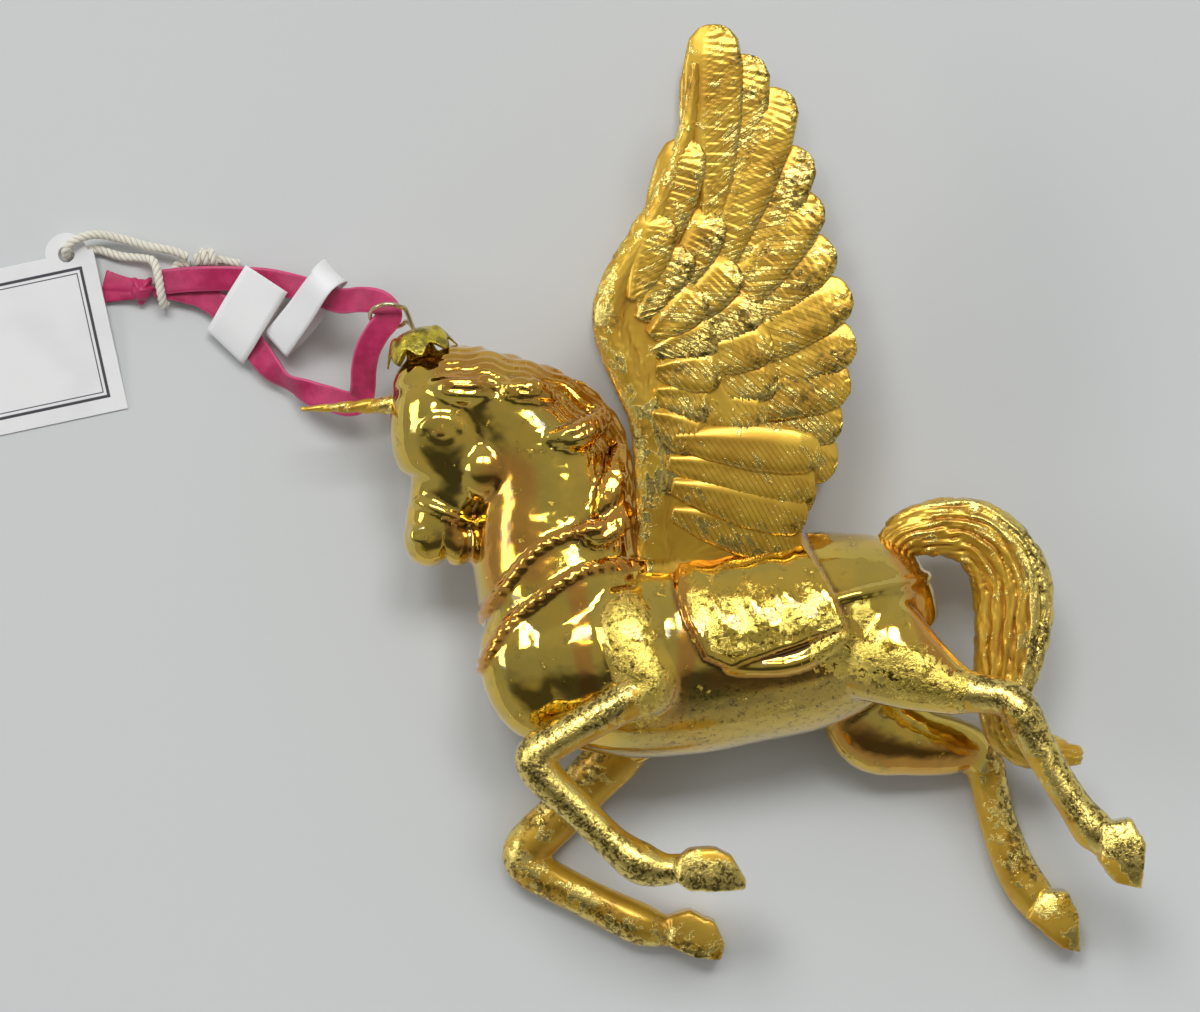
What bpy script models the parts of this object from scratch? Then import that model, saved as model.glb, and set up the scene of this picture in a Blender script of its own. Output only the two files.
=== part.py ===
"""A winged unicorn tree ornament in mirrored gold glass, lying on its right side on a table.

X runs from the horn to the tail, Y from the hooves to the wing tips, and Z is up. The animal's plane
of symmetry lies flat, MID_HEIGHT above the table, and its left side faces up. The body is one blown
glass bulb. Horn, wings, legs and tail are castings glued to it. A cap and a wire loop carry the
ribbon, and a string ties a card tag to the ribbon. All is drawn from a point inside the shoulder, and
moved at the end so that the origin is the middle of the ornament's footprint.
"""
import math

import bmesh
import bpy
from mathutils import Matrix, Vector

MM = 0.001

# Where the drawing's zero comes to lie, with the origin in the middle of the footprint
DRAWING_ZERO = Vector((0.67 * MM, 1.34 * MM, 0.0))

# Body sizes, in metres
BARREL_HALF_WIDTH = 16.0 * MM
TABLE_CLEARANCE = 3.0 * MM
MID_HEIGHT = BARREL_HALF_WIDTH + TABLE_CLEARANCE
NECK_HALF_WIDTH = 11.0 * MM
HEAD_HALF_WIDTH = 9.0 * MM
CLOTH_THICKNESS = 1.3 * MM
COLLAR_HEIGHT = 0.9 * MM
COLLAR_WIDTH = 1.8 * MM

# How far legs and wings stand out from the plane of symmetry
HOOF_HALF_DEPTH = 4.0 * MM
HOOF_SPREAD = MID_HEIGHT - HOOF_HALF_DEPTH
WING_HALF_DEPTH = 3.0 * MM
WING_ROOT_SPREAD = 8.0 * MM
WING_TIP_SPREAD = MID_HEIGHT - WING_HALF_DEPTH
WING_FLARE_LENGTH = 24.0 * MM
FEATHER_THICKNESS = 1.5 * MM
FEATHER_WIDTH = 10.6 * MM
HORN_RADIUS = 1.9 * MM
HORN_TIP_RADIUS = 0.35 * MM
HORN_TURNS = 2.5
TAIL_HALF_DEPTH = 4.6 * MM

# Gaps between pieces
GLUE_GAP = 0.4 * MM
TOUCH_GAP = 0.3 * MM

# Glass neck, cap and wire loop, on one sloping axis at the poll
CAP_SEAT = Vector((-53.7 * MM, 24.5 * MM, MID_HEIGHT))
CAP_AXIS = Vector((-0.32, 0.95, 0.0)).normalized()
CAP_RADIUS = 6.2 * MM
CAP_TOP_RADIUS = 3.4 * MM
CAP_HEIGHT = 4.8 * MM
CAP_WALL = 0.5 * MM
CAP_PETALS = 8
CAP_HOLE_RADIUS = 1.7 * MM
GLASS_NECK_RADIUS = 2.7 * MM
GLASS_NECK_BORE = 1.8 * MM
GLASS_NECK_DEPTH = 6.0 * MM
WIRE_DIAMETER = 0.8 * MM
WIRE_LEG_SPREAD = 1.0 * MM
LOOP_RADIUS = 3.5 * MM
LOOP_RISE = 2.5 * MM
LOOP_TILT = math.radians(56)

# Ribbon, string, tag and labels
RIBBON_WIDTH = 4.6 * MM
RIBBON_THICKNESS = 0.4 * MM
STRING_DIAMETER = 1.6 * MM
TAG_WIDTH = 42.0 * MM
TAG_HEIGHT = 30.0 * MM
TAG_TAB_RADIUS = 3.9 * MM
TAG_TAB_FROM_EDGE = 5.0 * MM
TAG_CORNER = Vector((-108.7 * MM, 15.7 * MM, 0.0))
TAG_TURN = math.radians(12)
TAG_LIFT = 2.4 * MM
CARD_THICKNESS = 0.4 * MM
TAG_HOLE_RADIUS = 1.5 * MM
LABEL_THICKNESS = 0.3 * MM
LOWER_LABEL_WIDTH = 9.2 * MM
UPPER_LABEL_WIDTH = 6.2 * MM

# Fineness of the fused shapes
BODY_VOXEL = 0.7 * MM
CASTING_VOXEL = 0.5 * MM
KNOT_VOXEL = 0.35 * MM
BODY_TRIANGLES = 3200
WING_TRIANGLES = 1400
LEG_TRIANGLES = 380
TAIL_TRIANGLES = 700
KNOT_TRIANGLES = 200

for leftover in list(bpy.data.objects):
    bpy.data.objects.remove(leftover)


def collection(name):
    """A new collection in the scene."""
    group = bpy.data.collections.new(name)
    bpy.context.scene.collection.children.link(group)
    return group


PARTS = collection("winged_unicorn_ornament")
CUTTERS = collection("cutters")


def material(name, colour, roughness, metallic):
    """A plain surface for one kind of piece."""
    surface = bpy.data.materials.new(name)
    surface.use_nodes = True
    shader = surface.node_tree.nodes["Principled BSDF"]
    shader.inputs["Base Color"].default_value = (*colour, 1.0)
    shader.inputs["Roughness"].default_value = roughness
    shader.inputs["Metallic"].default_value = metallic
    return surface


MIRRORED_GLASS = material("mirrored_gold_glass", (0.72, 0.52, 0.08), 0.06, 1.0)
GOLD_CASTING = material("gilded_casting", (0.78, 0.50, 0.10), 0.35, 0.8)
CAP_FOIL = material("cap_foil", (0.70, 0.60, 0.12), 0.2, 1.0)
BRIGHT_WIRE = material("bright_wire", (0.75, 0.66, 0.42), 0.2, 1.0)
SATIN = material("magenta_satin", (0.62, 0.05, 0.22), 0.4, 0.0)
COTTON = material("cotton_string", (0.80, 0.77, 0.66), 0.9, 0.0)
CARD = material("white_card", (0.86, 0.86, 0.84), 0.6, 0.0)


# Mesh helpers

def place(x, y, w):
    """The point at x and y millimetres in the plane of symmetry, and w millimetres above it."""
    return Vector((x * MM, y * MM, MID_HEIGHT + w * MM))


def smooth_points(points, steps):
    """A smooth run through rows of numbers, with a number of steps from each row to the next."""
    rows = [points[0], *points, points[-1]]
    run = []
    for before, start, end, after in zip(rows, rows[1:], rows[2:], rows[3:]):
        for step in range(steps):
            t = step / steps
            run.append(tuple(
                0.5 * (2 * b + (c - a) * t + (2 * a - 5 * b + 4 * c - d) * t ** 2
                       + (3 * b - a - 3 * c + d) * t ** 3)
                for a, b, c, d in zip(before, start, end, after)))
    run.append(tuple(points[-1]))
    return run


def skin(rings):
    """A closed shape through rings of points, with flat ends."""
    shape = bmesh.new()
    loops = [[shape.verts.new(point) for point in ring] for ring in rings]
    sides = len(loops[0])
    for near, far in zip(loops, loops[1:]):
        for i in range(sides):
            j = (i + 1) % sides
            shape.faces.new((near[i], near[j], far[j], far[i]))
    shape.faces.new(reversed(loops[0]))
    shape.faces.new(loops[-1])
    bmesh.ops.recalc_face_normals(shape, faces=shape.faces)
    return shape


def loft(stations, sides=16, steps=3, grow=0.0):
    """A limb through stations of x, y, w, half its width in the picture plane and half its depth."""
    run = smooth_points(stations, steps)
    centres = [place(*row[:3]) for row in run]
    rings = []
    for i, (row, centre) in enumerate(zip(run, centres)):
        tangent = centres[min(i + 1, len(run) - 1)] - centres[max(i - 1, 0)]
        across = Vector((-tangent.y, tangent.x, 0)).normalized()
        upward = tangent.cross(across).normalized()
        width = max(row[3], 0.1) * MM + grow
        depth = max(row[4], 0.1) * MM + grow
        angles = (2 * math.pi * k / sides for k in range(sides))
        rings.append([centre + across * width * math.cos(a) + upward * depth * math.sin(a)
                      for a in angles])
    return skin(rings)


def ball(x, y, w, length, width, depth, turn=0.0):
    """An egg of these half sizes in millimetres, turned in the picture plane by an angle in degrees."""
    shape = bmesh.new()
    bmesh.ops.create_uvsphere(shape, u_segments=20, v_segments=12, radius=1.0)
    size = Matrix.Diagonal((length * MM, width * MM, depth * MM, 1.0))
    shape.transform(Matrix.Translation(place(x, y, w)) @ Matrix.Rotation(math.radians(turn), 4, "Z") @ size)
    return shape


def mirrored(stations):
    """The same stations on the other side of the plane of symmetry."""
    return [(x, y, -w, *rest) for x, y, w, *rest in stations]


def prism(outline):
    """A block with this outline in the picture plane, right through the body."""
    shape = bmesh.new()
    reach = 30
    face = shape.faces.new([shape.verts.new(place(x, y, -reach)) for x, y in outline])
    top = bmesh.ops.extrude_face_region(shape, geom=[face])
    corners = [item for item in top["geom"] if isinstance(item, bmesh.types.BMVert)]
    bmesh.ops.translate(shape, verts=corners, vec=(0, 0, 2 * reach * MM))
    bmesh.ops.recalc_face_normals(shape, faces=shape.faces)
    return shape


def strip(points, width):
    """The outline of a line of this width in millimetres through points."""
    run = smooth_points(points, 3)
    left, right = [], []
    for i, (x, y) in enumerate(run):
        ahead, behind = run[min(i + 1, len(run) - 1)], run[max(i - 1, 0)]
        direction = Vector((ahead[0] - behind[0], ahead[1] - behind[1])).normalized()
        left.append((x - direction.y * width / 2, y + direction.x * width / 2))
        right.append((x + direction.y * width / 2, y - direction.x * width / 2))
    return left + right[::-1]


def add(name, shape, surface=None, group=PARTS):
    """An object made from a shape."""
    mesh = bpy.data.meshes.new(name)
    shape.to_mesh(mesh)
    shape.free()
    thing = bpy.data.objects.new(name, mesh)
    group.objects.link(thing)
    if surface:
        mesh.materials.append(surface)
    return thing


def bake(thing):
    """Turns an object's modifiers into its mesh."""
    evaluated = thing.evaluated_get(bpy.context.evaluated_depsgraph_get())
    result = bpy.data.meshes.new_from_object(evaluated)
    old = thing.data
    thing.modifiers.clear()
    thing.data = result
    bpy.data.meshes.remove(old)
    return thing


def take(thing):
    """The mesh of an object as a shape, and the object is gone."""
    shape = bmesh.new()
    shape.from_mesh(thing.data)
    bpy.data.objects.remove(thing)
    return shape


def together(shapes):
    """Several shapes as one."""
    total = bmesh.new()
    for shape in shapes:
        mesh = bpy.data.meshes.new("shape")
        shape.to_mesh(mesh)
        shape.free()
        total.from_mesh(mesh)
        bpy.data.meshes.remove(mesh)
    return total


def boolean(thing, other, operation):
    """Cuts or meets an object with another one, and makes it triangles again."""
    step = thing.modifiers.new(operation.lower(), "BOOLEAN")
    step.operation = operation
    step.solver = "EXACT"
    step.object = other
    bake(thing)
    shape = bmesh.new()
    shape.from_mesh(thing.data)
    bmesh.ops.triangulate(shape, faces=shape.faces)
    bmesh.ops.dissolve_degenerate(shape, edges=shape.edges, dist=1e-7)
    shape.to_mesh(thing.data)
    shape.free()
    return thing


def common(shape, other):
    """What two shapes have in common."""
    thing = add("common", shape)
    tool = add("tool", other)
    boolean(thing, tool, "INTERSECT")
    bpy.data.objects.remove(tool)
    return take(thing)


def fused(name, shapes, surface, voxel, smoothing, triangles):
    """One skin over several shapes, smoothed and reduced to a number of triangles."""
    thing = add(name, together(shapes), surface)
    remesh = thing.modifiers.new("skin", "REMESH")
    remesh.mode = "VOXEL"
    remesh.voxel_size = voxel
    smooth = thing.modifiers.new("smooth", "SMOOTH")
    smooth.factor = 0.5
    smooth.iterations = smoothing
    bake(thing)
    thing.data.calc_loop_triangles()
    reduce = thing.modifiers.new("reduce", "DECIMATE")
    reduce.ratio = min(1.0, triangles / len(thing.data.loop_triangles))
    bake(thing)
    thing.data.materials.clear()
    thing.data.materials.append(surface)
    thing.data.shade_smooth()
    return thing


def cutter(name, shape):
    """A hidden tool."""
    tool = add(name, shape, group=CUTTERS)
    tool.hide_render = True
    tool.display_type = "WIRE"
    return tool


def grown(thing, name, distance):
    """A hidden copy of an object, with its skin moved out."""
    shape = bmesh.new()
    shape.from_mesh(thing.data)
    tool = cutter(name, shape)
    outward = tool.modifiers.new("outward", "DISPLACE")
    outward.strength = distance
    outward.mid_level = 0.0
    return bake(tool)


def move(thing, offset):
    """Moves an object's mesh."""
    thing.data.transform(Matrix.Translation(offset))


def lay_down(thing):
    """Moves a piece straight down or up until it just touches the table."""
    lowest = min(vertex.co.z for vertex in thing.data.vertices)
    move(thing, (0, 0, -lowest))


# The glass body, as stations of x, y, w, half height and half width in millimetres

BARREL = BARREL_HALF_WIDTH / MM
NECK = NECK_HALF_WIDTH / MM
HEAD = HEAD_HALF_WIDTH / MM

TRUNK_STATIONS = [
    (37.4, -24.2, 0, 3.0, 0.3 * BARREL), (33.6, -21.4, 0, 7.8, 0.6 * BARREL),
    (29.8, -20.8, 0, 13.4, 0.88 * BARREL), (23.2, -22.7, 0, 16.6, 1.0 * BARREL),
    (14.2, -25.2, 0, 17.8, 1.02 * BARREL), (3.4, -27.3, 0, 18.0, 1.0 * BARREL),
    (-7.4, -28.8, 0, 18.5, 0.97 * BARREL), (-18.2, -29.2, 0, 18.4, 0.97 * BARREL),
    (-28.1, -29.7, 0, 15.8, 0.92 * BARREL), (-35.3, -29.4, 0, 11.0, 0.75 * BARREL),
    (-40.3, -28.6, 0, 5.4, 0.42 * BARREL)]

NECK_STATIONS = [
    (-24.4, -28.3, 0, 16.6, 1.25 * NECK), (-28.0, -17.8, 0, 16.0, 1.2 * NECK),
    (-30.2, -8.5, 0, 14.9, 1.08 * NECK), (-30.6, 0.5, 0, 13.6, 0.96 * NECK),
    (-33.5, 8.3, 0, 12.2, 0.88 * NECK), (-38.9, 14.6, 0, 10.0, 0.84 * NECK),
    (-45.5, 18.9, 0, 8.0, 0.78 * NECK), (-51.5, 21.2, 0, 5.8, 0.6 * NECK)]

HEAD_STATIONS = [
    (-48.2, 21.8, 0, 6.0, 0.72 * HEAD), (-49.9, 17.1, 0, 8.8, 0.92 * HEAD),
    (-50.2, 13.1, 0, 9.6, 1.0 * HEAD), (-49.2, 8.3, 0, 10.0, 0.98 * HEAD),
    (-48.6, 2.7, 0, 8.2, 0.82 * HEAD), (-50.0, -1.6, 0, 6.3, 0.62 * HEAD),
    (-50.9, -5.8, 0, 6.0, 0.62 * HEAD), (-51.1, -9.7, 0, 5.2, 0.55 * HEAD),
    (-50.9, -12.0, 0, 3.2, 0.36 * HEAD)]

LEFT_SHOULDER = [
    (-17.5, -18.5, 9, 5.0, 4.0), (-17.0, -24.0, 11.5, 7.2, 5.2), (-15.0, -29.5, 12.5, 6.4, 5.4),
    (-12.8, -33.6, 13.2, 5.4, 4.9), (-15.5, -36.0, 13.8, 4.3, 3.9)]
RIGHT_SHOULDER = [
    (-15.5, -22.0, -9, 5.0, 4.0), (-13.5, -30.0, -10.5, 6.6, 5.2), (-12.2, -38.5, -10.8, 5.8, 5.0),
    (-15.0, -44.2, -11.2, 5.2, 4.2)]
LEFT_THIGH = [
    (22.5, -24.5, 9, 5.0, 4.0), (27.0, -27.2, 10.5, 9.8, 6.2), (33.5, -31.2, 11.5, 7.8, 5.8),
    (39.5, -34.2, 12.6, 5.6, 4.8), (43.0, -35.2, 13.2, 4.2, 3.8)]
RIGHT_THIGH = [
    (22.5, -30.0, -9, 6.0, 4.0), (28.0, -41.5, -10.5, 9.0, 5.8), (35.5, -45.0, -11.5, 6.8, 5.4),
    (42.6, -46.2, -12.6, 5.4, 4.7), (46.0, -47.3, -13.3, 4.5, 4.0)]

CREST = [
    (-47.0, 22.5, 0, 2.6, 4.2), (-41.5, 22.6, 0, 3.0, 4.4), (-33.0, 20.2, 0, 3.2, 4.4),
    (-25.5, 16.2, 0, 3.4, 4.2), (-20.6, 10.2, 0, 3.4, 4.2), (-18.8, 1.5, 0, 3.4, 4.4),
    (-18.0, -6.0, 0, 3.0, 4.6)]
MANE_LOCKS = [
    [(-40.5, 19.0, 7.0, 0.8, 0.8), (-37.5, 18.2, 8.2, 2.2, 1.8), (-33.2, 18.2, 8.2, 2.3, 1.8),
     (-29.6, 17.0, 7.2, 0.7, 0.7)],
    [(-20.6, 14.4, 4.5, 1.4, 1.6), (-23.4, 11.6, 8.0, 2.6, 2.0), (-27.2, 9.9, 9.4, 2.4, 1.7),
     (-31.4, 9.8, 9.4, 0.7, 0.7)],
    [(-18.2, 8.5, 5.0, 1.4, 1.8), (-18.9, 3.6, 8.6, 2.3, 2.2), (-20.4, -0.8, 10.2, 2.2, 1.9),
     (-22.6, -4.0, 10.8, 0.8, 0.8)],
    [(-17.4, -0.5, 6.5, 1.5, 2.0), (-18.6, -5.2, 10.4, 2.4, 2.2), (-22.0, -7.6, 12.0, 2.2, 1.7),
     (-26.0, -5.8, 12.0, 0.7, 0.7)]]
EAR = [
    (-52.2, 18.9, 6.0, 1.2, 1.4), (-49.0, 18.6, 8.0, 2.4, 1.9), (-44.5, 18.3, 8.6, 2.4, 1.7),
    (-40.2, 18.0, 8.4, 0.9, 0.8)]

SADDLE_CLOTH = [
    (-8.2, -17.0), (-6.6, -22.5), (-3.2, -29.2), (1.4, -31.0), (5.8, -29.4), (14.1, -26.6),
    (21.7, -23.7), (19.3, -17.6), (15.2, -10.0), (13.6, -2.0), (-6.0, -2.0), (-8.0, -9.2)]
SADDLE_FOLD = [(1.4, -30.5), (8.0, -30.8), (14.5, -29.6), (21.0, -25.2)]
UPPER_COLLAR = [(-45.0, -25.0), (-42.7, -21.5), (-38.3, -16.2), (-33.9, -11.0), (-29.2, -8.0), (-22.0, -5.8)]
LOWER_COLLAR = [(-43.5, -31.6), (-41.5, -28.3), (-38.3, -23.6), (-32.4, -18.8), (-24.1, -13.6), (-11.5, -12.3)]
CRUPPER = [(20.5, -18.7), (26.2, -17.3), (30.1, -16.5), (37.0, -15.0)]
NOSEBAND = [(-54.5, -1.6), (-51.5, -2.6), (-48.5, -4.0), (-44.5, -5.4)]


def face():
    """Muzzle, chin, poll, cheeks, eyes, brows and nostrils."""
    shapes = [ball(-52.6, -8.2, 0, 4.7, 5.2, 5.4), ball(-47.4, -8.8, 0, 3.3, 4.5, 4.4)]
    shapes.append(ball(-52.4, 20.2, 0, 6.9, 5.2, 6.0, turn=18))
    for side in (1, -1):
        shapes.append(ball(-42.6, 4.3, side * 4.4, 5.2, 5.6, 4.6))
        shapes.append(ball(-50.2, 10.9, side * 7.3, 2.0, 1.7, 2.0))
        shapes.append(ball(-51.4, 13.6, side * 6.4, 3.0, 1.8, 2.4, turn=-15))
        shapes.append(ball(-54.4, -7.6, side * 3.8, 1.7, 2.0, 1.8))
    return shapes


def mane():
    """A thick crest, with the same locks and ears on both sides of it."""
    shapes = [loft(CREST)]
    for lock in [*MANE_LOCKS, EAR]:
        shapes.append(loft(lock, sides=12))
        shapes.append(loft(mirrored(lock), sides=12))
    return shapes


def harness():
    """Saddle cloth, collars, crupper and noseband: raised bands that follow the skin."""
    collar_width = COLLAR_WIDTH / MM
    fold_width = 2.6
    return [
        common(loft(TRUNK_STATIONS, grow=CLOTH_THICKNESS), prism(SADDLE_CLOTH)),
        common(loft(TRUNK_STATIONS, grow=0.7 * CLOTH_THICKNESS), prism(strip(SADDLE_FOLD, fold_width))),
        common(loft(TRUNK_STATIONS, grow=COLLAR_HEIGHT), prism(strip(CRUPPER, collar_width))),
        common(loft(NECK_STATIONS, grow=COLLAR_HEIGHT), prism(strip(UPPER_COLLAR, collar_width))),
        common(loft(TRUNK_STATIONS, grow=COLLAR_HEIGHT), prism(strip(LOWER_COLLAR, collar_width))),
        common(loft(NECK_STATIONS, grow=COLLAR_HEIGHT), prism(strip(LOWER_COLLAR, collar_width))),
        common(loft(HEAD_STATIONS, grow=COLLAR_HEIGHT), prism(strip(NOSEBAND, collar_width)))]


def rod(start, end, radius, sides=20):
    """A round bar from one point to another."""
    shape = bmesh.new()
    length = (end - start).length
    bmesh.ops.create_cone(shape, cap_ends=True, segments=sides, radius1=radius, radius2=radius, depth=length)
    turn = (end - start).to_track_quat("Z", "Y").to_matrix().to_4x4()
    shape.transform(Matrix.Translation((start + end) / 2) @ turn)
    return shape


def glass_body():
    """The bulb, with the open glass neck at the poll that takes the cap and the wire."""
    shapes = [loft(TRUNK_STATIONS), loft(NECK_STATIONS), loft(HEAD_STATIONS)]
    shapes += [loft(limb) for limb in (LEFT_SHOULDER, RIGHT_SHOULDER, LEFT_THIGH, RIGHT_THIGH)]
    shapes += [ball(-33.6, -31.2, side * 5.5, 9.6, 13.6, 8.0, turn=12) for side in (1, -1)]
    shapes += face() + mane() + harness()
    neck_top = CAP_SEAT + CAP_AXIS * (CAP_HEIGHT - CAP_WALL - TOUCH_GAP)
    neck_root = CAP_SEAT - CAP_AXIS * GLASS_NECK_DEPTH
    shapes.append(rod(neck_root, neck_top, GLASS_NECK_RADIUS))
    body = fused("glass_body", shapes, MIRRORED_GLASS, BODY_VOXEL, 4, BODY_TRIANGLES)
    bore = cutter("glass_neck_bore", rod(neck_root, neck_top + CAP_AXIS * 2 * MM, GLASS_NECK_BORE))
    return boolean(body, bore, "DIFFERENCE")


# Castings

LEFT_FORELEG = [
    (-13.6, -33.6, 13.6, 3.4, 3.2), (-15.5, -35.6, 14.2, 3.9, 3.5), (-21.8, -39.3, 14.6, 3.6, 3.2),
    (-28.8, -43.3, 15, 3.3, 3.0), (-33.2, -46.4, 15, 3.6, 3.4), (-31.4, -50.4, 15, 3.5, 3.3),
    (-26.2, -55.3, 15, 3.1, 2.9), (-19.7, -61.7, 15, 3.1, 2.9), (-14.6, -65.4, 15, 3.8, 3.4),
    (-10.5, -66.5, 15, 3.0, 2.8), (-7.3, -66.1, 15, 2.5, 2.5), (-4.6, -66.2, 15, 3.2, 3.1),
    (-1.5, -66.8, 15, 2.6, 3.0)]
RIGHT_FORELEG = [
    (-13.8, -41.6, -11.6, 4.2, 3.6), (-18.4, -47.4, -12.4, 5.0, 3.8), (-23.6, -52.6, -13.4, 4.8, 3.6),
    (-29.6, -59.4, -14.2, 4.4, 3.4), (-35.2, -65.2, -15, 4.3, 3.6), (-34.4, -68.7, -15, 3.9, 3.5),
    (-29.1, -71.8, -15, 3.6, 3.2), (-21.8, -75.5, -15, 3.6, 3.1), (-14.4, -79.0, -15, 3.9, 3.4),
    (-10.4, -80.1, -15, 3.1, 2.9), (-7.5, -80.1, -15, 3.1, 2.9), (-4.8, -80.6, -15, 3.7, 3.3),
    (-2.4, -81.4, -15, 2.8, 3.0)]
LEFT_HIND_LEG = [
    (39.0, -34.0, 12.7, 2.8, 2.6), (42.4, -35.0, 13.2, 3.9, 3.5), (46.4, -35.6, 13.8, 3.4, 3.2),
    (50.2, -36.3, 14.4, 3.4, 3.2), (52.7, -38.9, 15, 3.5, 3.2), (55.3, -44.1, 15, 3.2, 2.8),
    (58.9, -50.3, 15, 3.0, 2.7), (62.4, -55.7, 15, 3.1, 2.9), (65.2, -59.3, 15, 3.7, 3.3),
    (67.4, -61.4, 15, 3.1, 2.9), (69.6, -63.0, 15, 3.8, 3.4), (71.2, -64.4, 15, 2.8, 3.0)]
RIGHT_HIND_LEG = [
    (42.4, -46.0, -12.8, 2.8, 2.6), (45.6, -47.0, -13.4, 4.2, 3.7), (48.3, -49.2, -14.4, 3.9, 3.4),
    (49.5, -52.9, -15, 3.5, 3.1), (50.6, -58.0, -15, 3.4, 3.0), (52.6, -64.4, -15, 3.6, 3.1),
    (54.8, -69.4, -15, 3.8, 3.3), (57.0, -73.0, -15, 3.9, 3.3), (59.0, -75.4, -15, 3.6, 3.1),
    (61.0, -77.2, -15, 3.8, 3.3), (62.6, -79.0, -15, 3.0, 3.0)]
LEFT_FORE_HOOF = [
    (-8.2, -64.2), (-6.2, -62.6), (-2.0, -62.3), (1.4, -64.0), (4.0, -68.2), (3.9, -70.0), (-5.9, -70.4),
    (-8.6, -68.6)]
RIGHT_FORE_HOOF = [
    (-9.4, -77.2), (-5.4, -75.9), (-0.8, -78.4), (1.2, -82.6), (0.3, -85.4), (-4.6, -84.9), (-9.3, -83.0)]
LEFT_HIND_HOOF = [(67.0, -58.0), (72.0, -57.1), (74.3, -61.8), (73.7, -69.8), (69.1, -68.7), (66.0, -65.0)]
RIGHT_HIND_HOOF = [(58.7, -72.4), (63.9, -72.6), (65.8, -77.4), (66.2, -84.1), (62.7, -83.2), (55.8, -77.7)]
TAIL = [
    (29.5, -13.0, 0, 2.6), (31.6, -8.6, 0, 3.8), (36.4, -6.5, 0, 5.2), (43.9, -6.6, 0, 6.3),
    (49.2, -10.2, 0, 7.1), (52.3, -16.2, 0, 7.7), (52.6, -22.9, 0, 7.6), (51.7, -30.1, 0, 6.8),
    (50.8, -37.3, 0, 5.2), (52.4, -43.4, 0, 4.6), (57.8, -46.3, 0, 3.8), (65.0, -47.4, 0, 1.6)]
TAIL_STRANDS = 6

FLIGHT_FEATHERS = [
    (-2.4, 46.0, -1.7, 82.7), (-4.0, 38.0, 4.6, 77.4), (-4.6, 33.0, 10.3, 71.3), (-5.4, 27.0, 14.0, 60.8),
    (-7.3, 23.1, 19.0, 44.2), (-6.6, 20.3, 22.3, 36.0), (-6.2, 17.4, 23.3, 27.6), (-6.2, 14.6, 22.5, 20.4),
    (-6.2, 11.8, 20.8, 13.4), (-6.9, 8.3, 19.6, 5.6), (-8.4, 4.4, 14.6, -1.0)]
COVERTS = [
    (-12.6, 39.7, -6.2, 62.3), (-11.2, 31.9, -2.0, 49.6), (-9.8, 28.7, 1.9, 40.8), (-8.4, 25.6, 6.1, 34.0),
    (-7.6, 22.7, 8.6, 27.3), (-7.3, 19.2, 9.7, 20.6), (-7.6, 15.7, 8.2, 14.3), (-8.7, 11.4, 6.1, 7.9)]
SMALL_COVERTS = [
    (-16.1, 34.0, -11.2, 49.1), (-14.7, 30.5, -7.3, 43.6), (-12.9, 27.7, -4.1, 35.8), (-12.2, 24.9, -1.3, 28.7),
    (-11.9, 21.7, -0.2, 22.0), (-11.9, 17.8, -1.6, 15.7), (-12.6, 13.6, -3.4, 9.7)]
WING_ARM = [
    (-11.8, -12.0, 0.4, 3.4, 1.7), (-12.0, -6.0, 0, 3.3, 1.9), (-12.2, -1.3, 0, 3.2, 2.1),
    (-12.5, 5.8, 0, 3.2, 2.3), (-13.3, 12.9, 0, 3.2, 2.5), (-15.6, 19.0, 0, 3.2, 2.6),
    (-18.4, 25.2, 0, 3.2, 2.6), (-20.2, 30.9, 0, 3.1, 2.5), (-19.2, 35.8, 0, 3.0, 2.4),
    (-16.3, 41.5, 0, 2.9, 2.2), (-12.6, 47.8, 0, 2.5, 1.9), (-9.8, 54.9, 0, 2.0, 1.6),
    (-7.0, 62.3, 0, 1.6, 1.3), (-5.7, 69.1, 0, 1.3, 1.0), (-5.0, 76.0, 0, 0.8, 0.8)]
WING_PANEL = [
    (-13.5, -14.5), (-6.0, -15.5), (4.0, -15.0), (14.0, -13.0), (14.1, -1.3), (6.6, 9.4), (-0.5, 20.0),
    (-5.0, 30.0), (-10.0, 40.0), (-17.0, 38.0), (-19.0, 30.9), (-18.0, 24.0), (-15.5, 17.0),
    (-13.8, 12.9), (-13.6, 4.1)]


def spread(stations, amount):
    """Stations at w = 15 or less, with w scaled so that 15 becomes the given amount."""
    drawn_spread = 15.0
    factor = amount / MM / drawn_spread
    return [(x, y, w * factor, *rest) for x, y, w, *rest in stations]


def hoof(outline, w):
    """A wedge of this outline, rounded toward both faces."""
    middle_x = sum(x for x, _ in outline) / len(outline)
    middle_y = sum(y for _, y in outline) / len(outline)
    return common(prism(outline), ball(middle_x, middle_y, w, 9, 9, HOOF_HALF_DEPTH / MM))


def leg(name, stations, hoof_outline, body_tool, on_table):
    """A cast leg with its hoof, cut where it meets the glass."""
    limb = spread(stations, HOOF_SPREAD)
    shapes = [loft(limb, sides=14), hoof(hoof_outline, limb[-1][2])]
    casting = fused(name, shapes, GOLD_CASTING, CASTING_VOXEL, 2, LEG_TRIANGLES)
    if on_table:
        lay_down(casting)
    return boolean(casting, body_tool, "DIFFERENCE")


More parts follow.
